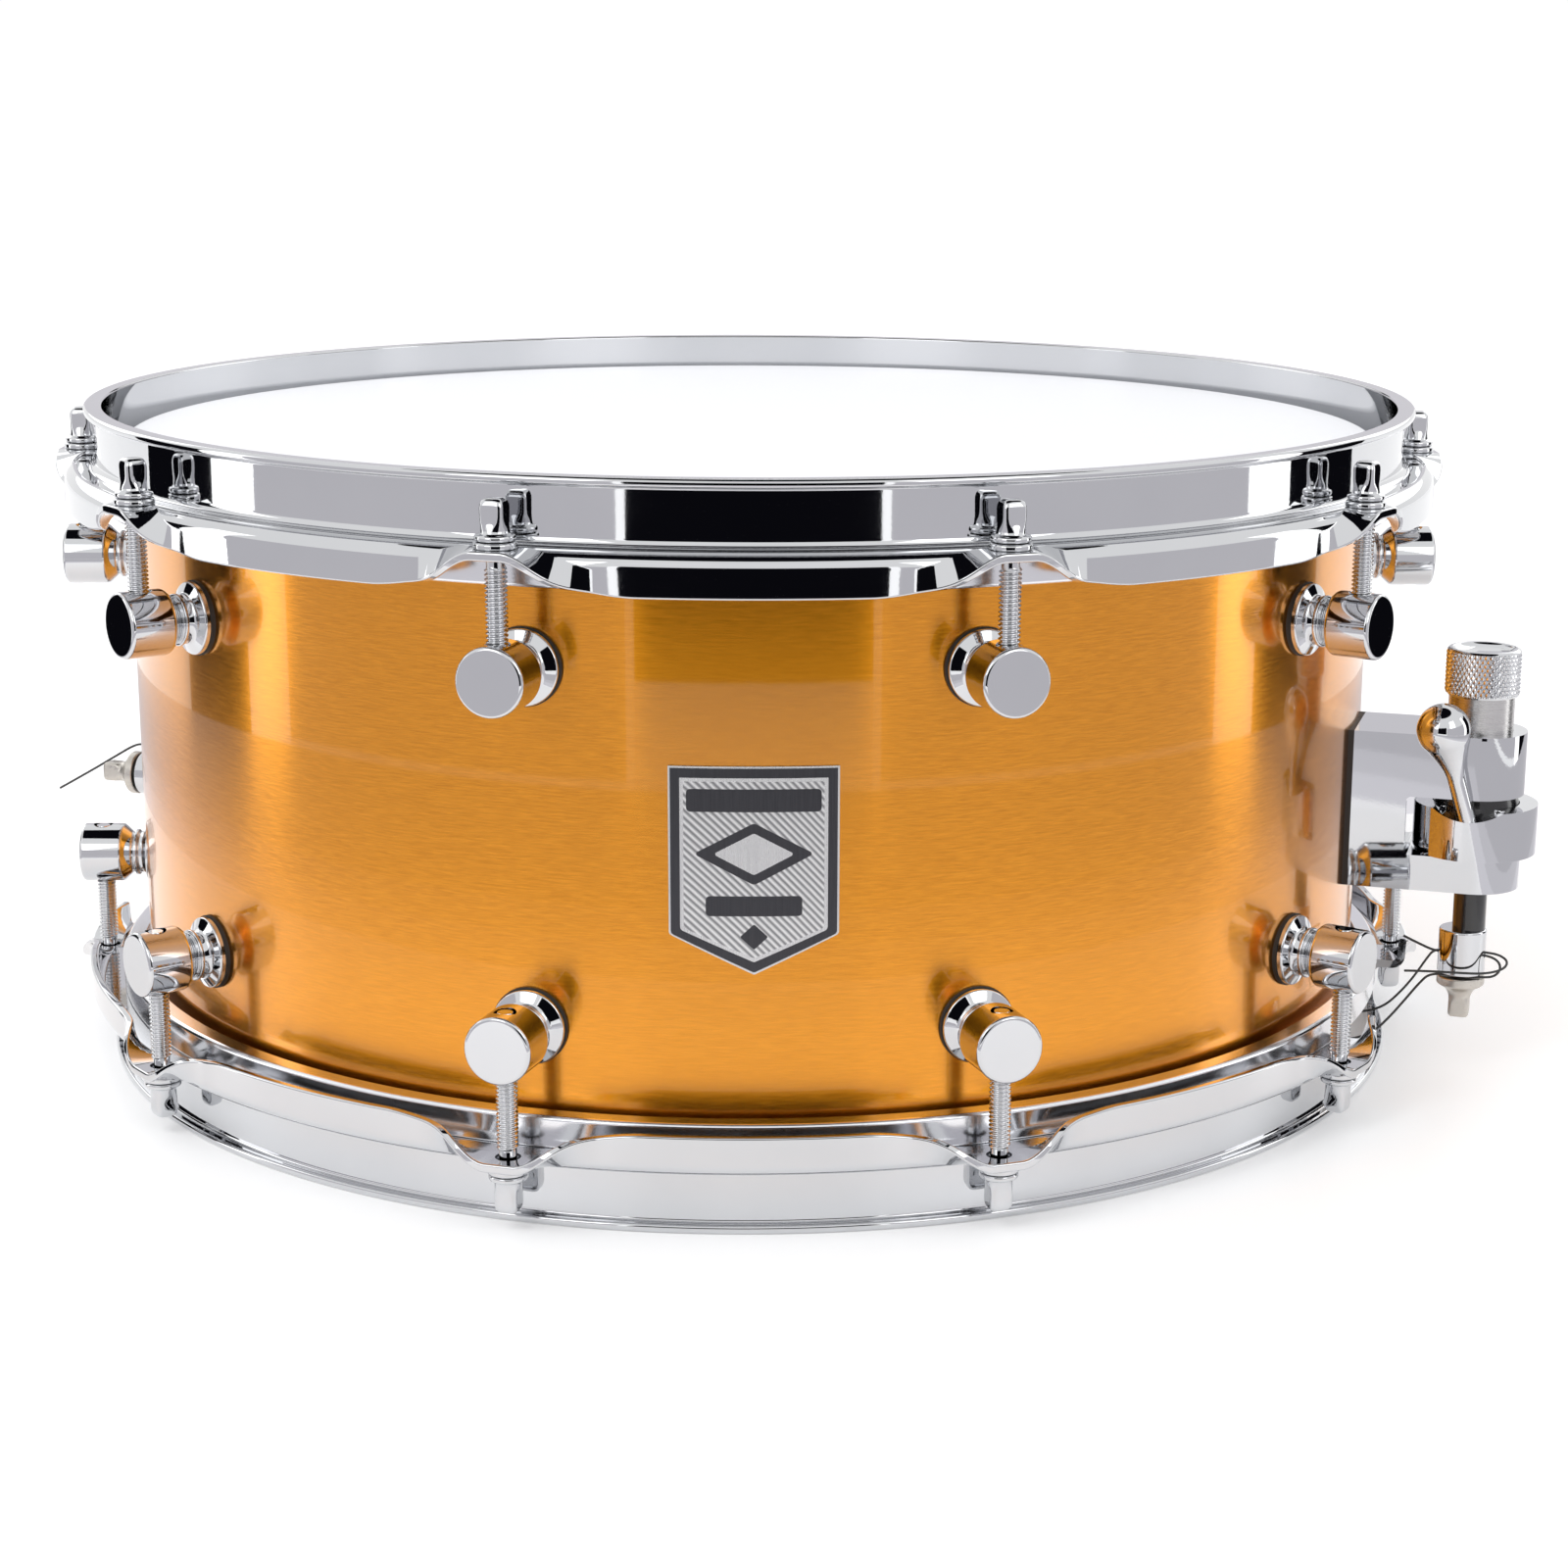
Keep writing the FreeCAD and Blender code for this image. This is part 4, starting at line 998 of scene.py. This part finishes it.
def add_strainer():
    place = at_azimuth(STRAINER_AZIMUTH)
    barrel = shift(BARREL_CENTRE)
    add_piece("strainer_block", strainer_mesh(), "chrome", "drum", ["strainer_body"], place)
    pad = block_gasket_mesh("strainer_pad", STRAINER_SEAT, BARREL_RADIUS, BODY_BOTTOM, BODY_TOP)
    add_piece("strainer_pad", pad, "rubber", "drum", ["strainer_gasket"], place)
    add_piece("throw_off_collar", collar_mesh(), "chrome", "throw_off_lever", ["lever_collar"], place)
    add_piece("throw_off_handle", lever_mesh(), "chrome", "throw_off_lever", ["lever_handle"], place)
    hub = shaded(lathe("cam_hub", [
        (5.0, RING_LOW, 0.3), (11.9, RING_LOW), (11.9, -13.8), (11.3, -11.4, 0.3), (11.3, -10.75, 0.3),
        (5.0, -10.75, 0.3),
    ], 128, barrel))
    add_piece("cam_hub", hub, "black_gloss", "throw_off_lever", ["collar_cam"], place)
    knob = knurled_knob_mesh()
    knob.materials.append(LOOKS["chrome"])
    knob.materials.append(LOOKS["satin"])
    for face in knob.polygons:
        face.material_index = 1 if face.center.z < 16.85 * MM else 0
    add_piece("knurled_knob", knob, "chrome", "tension_knob", ["tension_knob"], place)
    rod = shaded(lathe("plunger_rod", [
        (0, PLUNGER_END), (PLUNGER_RADIUS, PLUNGER_END), (PLUNGER_RADIUS, -2.0, 0.4), (2.5, -2.0),
        (2.5, 14.5, 0.5), (0, 14.5),
    ], 96, barrel))
    add_piece("plunger_rod", rod, "black_gloss", "plunger", ["plunger"], place)
    add_piece("string_clamp", clamp_mesh(), "chrome", "plunger", ["snare_clamp"], place)
    screw = key_screw_mesh("clamp_key_screw")
    screw.transform(shift(CLAMP_CENTRE, 0, PLUNGER_END - CLAMP_LENGTH - KEY_SCREW_GAP))
    add_piece("clamp_key_screw", screw, "key_steel", "clamp_screw", ["clamp_screw"], place)


# ---- Butt clamp ----

def add_butt():
    place = at_azimuth(BUTT_AZIMUTH)
    outline = rounded([(STRAINER_SEAT, -BUTT_HALF_WIDTH), (BUTT_FACE, -BUTT_HALF_WIDTH, 4),
                       (BUTT_FACE, BUTT_HALF_WIDTH, 4), (STRAINER_SEAT, BUTT_HALF_WIDTH)], degrees_per_step=6)
    block = prism("butt_block", outline, BUTT_LOW, BUTT_TOP, upright)
    barrel = lathe_outward("butt_barrel", [
        (189, 0), (189, CLAMP_RADIUS), (BUTT_BARREL_END, CLAMP_RADIUS, 0.35), (BUTT_BARREL_END, KEY_SHANK),
        (200.1, KEY_SHANK), (200.1, 0),
    ], BUTT_AXIS, 96)
    body = baked(block, bevel=0.6, sharp_degrees=30, segments=4)
    add_piece("butt_body", body, "chrome", "drum", ["butt_block"], place)
    add_piece("butt_barrel", shaded(barrel), "chrome", "drum", ["butt_block"], place)
    pad = block_gasket_mesh("butt_pad", STRAINER_SEAT, BUTT_HALF_WIDTH, BUTT_LOW, BUTT_TOP)
    add_piece("butt_pad", pad, "rubber", "drum", ["butt_gasket"], place)
    screw = key_screw_mesh("butt_key_screw")
    screw.transform(shift(BUTT_BARREL_END + KEY_SCREW_GAP, 0, BUTT_AXIS) @ turned(-90, "Y"))
    add_piece("butt_key_screw", screw, "key_steel", "butt_clamp_screw", ["butt_clamp_screw"], place)


# ---- Snare wires and strings ----

def add_snare_wires():
    outline = rounded([
        (PLATE_INNER, -PLATE_HALF_WIDTH, 1), (PLATE_OUTER, -PLATE_HALF_WIDTH, 3),
        (PLATE_OUTER, PLATE_HALF_WIDTH, 3), (PLATE_INNER, PLATE_HALF_WIDTH, 1),
    ])
    plate = baked(prism("end_plate", outline, PLATE_LOW, PLATE_TOP, upright), bevel=0.25, segments=2)
    for name, azimuth in (("strainer_end_plate", STRAINER_AZIMUTH), ("butt_end_plate", BUTT_AZIMUTH)):
        add_piece(name + "_piece", plate, "wire", "snare_wires", [name], at_azimuth(azimuth))
    coil = coil_mesh()
    for index in range(COIL_COUNT):
        aside = shift(0, (index - (COIL_COUNT - 1) / 2) * COIL_SPACING)
        add_piece("snare_coil_%02d" % (index + 1), coil, "wire", "snare_wires", ["snare_coils"],
                  at_azimuth(STRAINER_AZIMUTH) @ aside)


def coil_mesh():
    """One curly wire, as a thin tube along a helix from plate to plate."""
    half = COIL_HALF_LENGTH
    per_turn = 10
    count = int(2 * half / COIL_PITCH * per_turn)
    rings = []
    for step in range(count + 1):
        turn = 2 * math.pi * step / per_turn
        x = -half + 2 * half * step / count
        out = Vector((0, math.cos(turn), math.sin(turn)))
        centre = Vector((x, 0, COIL_HEIGHT)) + out * COIL_RADIUS
        ring = []
        for corner in range(5):
            angle = 2 * math.pi * corner / 5
            along = Vector((WIRE_RADIUS * math.sin(angle), 0, 0))
            ring.append(tuple(centre + out * WIRE_RADIUS * math.cos(angle) + along))
        rings.append(ring)
    rings = [[tuple(Vector((-half, COIL_RADIUS, COIL_HEIGHT)))]] + rings
    rings.append([tuple(centre)])
    return shaded(ring_mesh("snare_coil", rings), 80)


# The strings' routes, in the strainer's and the butt's local frames.
STRAINER_STRING_1 = [
    (147.0, 15.0, -84.0), (165.0, 16.2, -84.05), (181.5, 17.5, -83.8), (187.8, 17.0, -81.2),
    (192.5, 14.2, -75.6), (196.6, 9.8, -69.2), (200.0, 5.0, -62.6), (202.8, 1.5, -57.7),
    (210.2, 1.5, -57.85), (217.6, 1.5, -57.7), (221.3, 1.3, -58.2), (223.6, -1.2, -59.2),
    (222.6, -5.2, -60.4), (217.8, -8.3, -61.2), (210.5, -9.2, -61.3), (203.0, -9.0, -61.5),
    (195.5, -8.4, -62.2),
]
STRAINER_STRING_2 = [
    (147.0, -15.0, -84.0), (165.0, -13.6, -84.05), (181.5, -9.8, -83.8), (188.0, -8.0, -81.0),
    (192.2, -6.6, -76.4), (196.0, -5.3, -71.4), (199.4, -4.2, -66.8), (202.2, -3.4, -63.75),
    (209.6, -3.2, -63.75), (217.0, -3.4, -63.75), (220.2, -3.3, -63.2), (221.8, -2.9, -61.0),
    (220.9, -2.2, -58.8), (217.8, -1.5, -57.7), (210.6, -1.5, -57.55), (203.4, -1.5, -57.7),
    (199.4, -1.0, -56.4), (194.0, 0.0, -54.4),
]
BUTT_STRING_1 = [
    (147.0, 15.0, -84.0), (165.0, 13.5, -84.05), (181.5, 9.9, -83.8), (188.4, 7.8, -80.8),
    (192.6, 5.8, -73.4), (195.6, 3.8, -64.0), (197.3, 1.6, -54.2), (197.5, 0.0, -44.8),
    (197.35, 0.0, -35.5), (197.5, 0.0, -27.6), (198.2, -0.5, -22.4),
]
BUTT_STRING_2 = [
    (147.0, -15.0, -84.0), (165.0, -13.5, -84.05), (181.5, -9.9, -83.8), (188.6, -8.2, -80.6),
    (194.2, -6.7, -72.0), (199.4, -5.3, -60.8), (203.0, -4.2, -50.6), (204.45, -3.5, -42.6),
    (204.45, -3.3, -35.6), (204.45, -3.5, -30.2), (205.2, -3.5, -27.0), (208.6, -3.5, -27.4),
    (215.4, -3.7, -31.4), (225.8, -4.0, -37.6), (237.0, -4.3, -43.9),
]


def spline_points(route, azimuth):
    """Points in metres, in the row frame, along a smooth line whose control points are the route."""
    curve = bpy.data.curves.new("route", "CURVE")
    curve.dimensions = "3D"
    curve.resolution_u = 12
    spline = curve.splines.new("NURBS")
    spline.points.add(len(route) - 1)
    place = at_azimuth(azimuth)
    for control, point in zip(spline.points, route):
        control.co = (*(place @ (Vector(point) * MM)), 1)
    spline.order_u = 3
    spline.use_endpoint_u = True
    holder = new_object("route", curve)
    line = bpy.data.meshes.new_from_object(holder)
    points = [vertex.co.copy() for vertex in line.vertices]
    bpy.data.objects.remove(holder)
    return points


def tube_mesh(name, points, diameter, sides=10):
    """A round tube along points in metres, with flat ends."""
    rings = []
    side = None
    for index, point in enumerate(points):
        last = points[max(index - 1, 0)]
        following = points[min(index + 1, len(points) - 1)]
        ahead = (following - last).normalized()
        if side is None:
            side = ahead.orthogonal().normalized()
        side = (side - ahead * side.dot(ahead)).normalized()
        across = ahead.cross(side)
        ring = []
        for step in range(sides):
            turn = 2 * math.pi * step / sides
            reach = side * math.cos(turn) + across * math.sin(turn)
            ring.append(tuple((point + reach * diameter / 2) / MM))
        rings.append(ring)
    rings = [[tuple(points[0] / MM)]] + rings + [[tuple(points[-1] / MM)]]
    return shaded(ring_mesh(name, rings), 60)


def add_string(name, route, azimuth):
    """A snare string between two bodies, drawn as a cord along a smooth line from a start to an end in its
    route's frame.
    """
    points = spline_points(route, azimuth)
    mesh = tube_mesh(name, points, STRING_DIAMETER * MM)
    mesh.materials.append(LOOKS["string"])
    piece = new_object(name + "_cord", mesh)
    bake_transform(piece)
    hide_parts(name)


def add_strings():
    add_string("strainer_string_1", STRAINER_STRING_1, STRAINER_AZIMUTH)
    add_string("strainer_string_2", STRAINER_STRING_2, STRAINER_AZIMUTH)
    add_string("butt_string_1", BUTT_STRING_1, BUTT_AZIMUTH)
    add_string("butt_string_2", BUTT_STRING_2, BUTT_AZIMUTH)


# ---- Pieces that keep their CAD shape ----

def dress_cad_nodes():
    looks = {
        "lug_screws": "zinc", "strainer_screws": "zinc", "butt_screws": "zinc", "collar_screw": "black_gloss",
    }
    for node, look in looks.items():
        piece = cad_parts[node]
        piece.data.materials.clear()
        piece.data.materials.append(LOOKS[look])


# ---- Studio ----

def add_floor():
    material, nodes, links, shader = new_material("studio_floor")
    grain = noise_value(nodes, links, object_coordinates(nodes, links), 40.0)
    links.new(mixed(nodes, links, grain, (0.9, 0.9, 0.905), (0.92, 0.92, 0.925)), shader.inputs["Base Color"])
    fill(shader, {"Roughness": 0.45, "Emission Color": (1, 1, 1, 1), "Emission Strength": 0.2})
    corners = [(-6000, -6000, 0), (6000, -6000, 0), (6000, 6000, 0), (-6000, 6000, 0)]
    floor = new_object("studio_floor", new_mesh("studio_floor", corners, [(0, 1, 2, 3)]))
    floor.data.materials.append(material)
    floor.location.z = -STAND_LIFT * MM


def emission(name, colour, strength):
    material = bpy.data.materials.new(name)
    material.use_nodes = True
    nodes = material.node_tree.nodes
    nodes.clear()
    glow = nodes.new("ShaderNodeEmission")
    fill(glow, {"Color": (*colour, 1), "Strength": strength})
    output = nodes.new("ShaderNodeOutputMaterial")
    material.node_tree.links.new(glow.outputs["Emission"], output.inputs["Surface"])
    return material


def add_card(name, mesh, colour, strength):
    """A studio card that shows only in reflections."""
    mesh.materials.append(emission(name, colour, strength))
    card = new_object(name, mesh)
    card.visible_camera = False
    card.visible_diffuse = False
    card.visible_shadow = False
    card.visible_transmission = False


def add_wall(name, first, last, low, high, radius, colour, strength):
    """A curved upright card on each side of the drum, from a first azimuth to a last one."""
    for side in (-1, 1):
        points = []
        faces = []
        steps = 12
        for step in range(steps + 1):
            turn = math.radians(side * (first + (last - first) * step / steps))
            for height in (low, high):
                points.append((radius * math.sin(turn), -radius * math.cos(turn), height))
            if step:
                faces.append((2 * step - 2, 2 * step, 2 * step + 1, 2 * step - 1))
        label = "%s_%s" % (name, "left" if side < 0 else "right")
        add_card(label, new_mesh(name, points, faces), colour, strength)


def add_floor_ring(inner, outer, colour, strength):
    """A flat ring on the floor that makes it darker, in reflections only, further from the drum."""
    rings = [circle(inner, 1.5, 96), circle(outer, 1.5, 96)]
    name = "floor_ring_%d" % inner
    add_card(name, ring_mesh(name, rings), colour, strength)


def add_light(name, location, aim, size, power):
    light = bpy.data.lights.new(name, "AREA")
    light.shape = "RECTANGLE"
    light.size = size[0]
    light.size_y = size[1]
    light.energy = power
    lamp = new_object(name, light)
    lamp.location = location
    lamp.rotation_euler = (Vector(aim) - Vector(location)).to_track_quat("-Z", "Y").to_euler()
    lamp.visible_glossy = False


def add_studio():
    """A white sweep with grey and black cards round it, so that polished metal has something to show."""
    world = bpy.data.worlds.new("studio")
    bpy.context.scene.world = world
    bpy.context.scene.view_settings.view_transform = "Standard"
    world.use_nodes = True
    background = world.node_tree.nodes["Background"]
    fill(background, {"Color": (1.0, 1.0, 1.0, 1), "Strength": 1.02})
    add_floor()
    add_light("key_light", (-0.9, -0.9, 1.5), (0, 0, 0.1), (0.8, 0.8), 9)
    add_wall("black_front", 0, 17.4, 45, 300, WALL_RADIUS, BLACK, 1.0)
    add_wall("white_edge", 17.4, 18.7, 0, 300, WALL_RADIUS, WHITE, 1.5)
    add_wall("grey_side", 18.7, 78, 5, 250, WALL_RADIUS, LAVENDER, 0.7)
    add_wall("white_side", 78, 88, 0, 420, WALL_RADIUS, WHITE, 2.2)
    add_wall("black_side", 88, 107.5, 0, 330, WALL_RADIUS, BLACK, 1.0)
    add_wall("grey_back", 145, 180, 5, 300, WALL_RADIUS, LAVENDER, 0.75)
    add_wall("black_back", 150, 180, 302, 335, WALL_RADIUS, BLACK, 1.0)
    add_wall("soft_box", 24, 46, 330, 950, SOFT_BOX_RADIUS, WHITE, 2.6)
    add_wall("soft_box_back", 120, 150, 330, 800, SOFT_BOX_RADIUS, WHITE, 2.0)
    for inner, outer, strength in ((370, 410, 0.92), (410, 450, 0.8), (450, 620, 0.68)):
        add_floor_ring(inner, outer, LAVENDER, strength)
    ceiling = new_mesh("black_ceiling", circle(WALL_RADIUS, 1150, 48), [tuple(range(48))])
    add_card("black_ceiling", ceiling, BLACK, 1.0)


def add_camera():
    """The camera, a little above the drum and turned slightly to its right."""
    data = bpy.data.cameras.new("camera")
    data.lens = 69.71
    data.sensor_width = 36.0
    data.shift_x = -0.0389
    data.shift_y = 0.0157
    data.clip_start = 0.01
    camera = new_object("camera", data)
    heading = math.radians(-1.77)
    pitch = math.radians(90 - 13.87)
    roll = math.radians(0.38)
    aim = Euler((0, 0, heading)).to_matrix() @ Euler((pitch, 0, 0)).to_matrix()
    turn = aim @ Euler((0, 0, roll)).to_matrix()
    camera.matrix_world = Matrix.Translation((0, -0.88398, 0.27896)) @ turn.to_4x4()
    bpy.context.scene.camera = camera


add_camera()
LOOKS.update(make_materials())
add_strings()
add_shell()
add_vent()
add_badge()
add_heads()
add_hoops()
add_lugs_and_rods()
add_strainer()
add_butt()
add_snare_wires()
dress_cad_nodes()
add_studio()
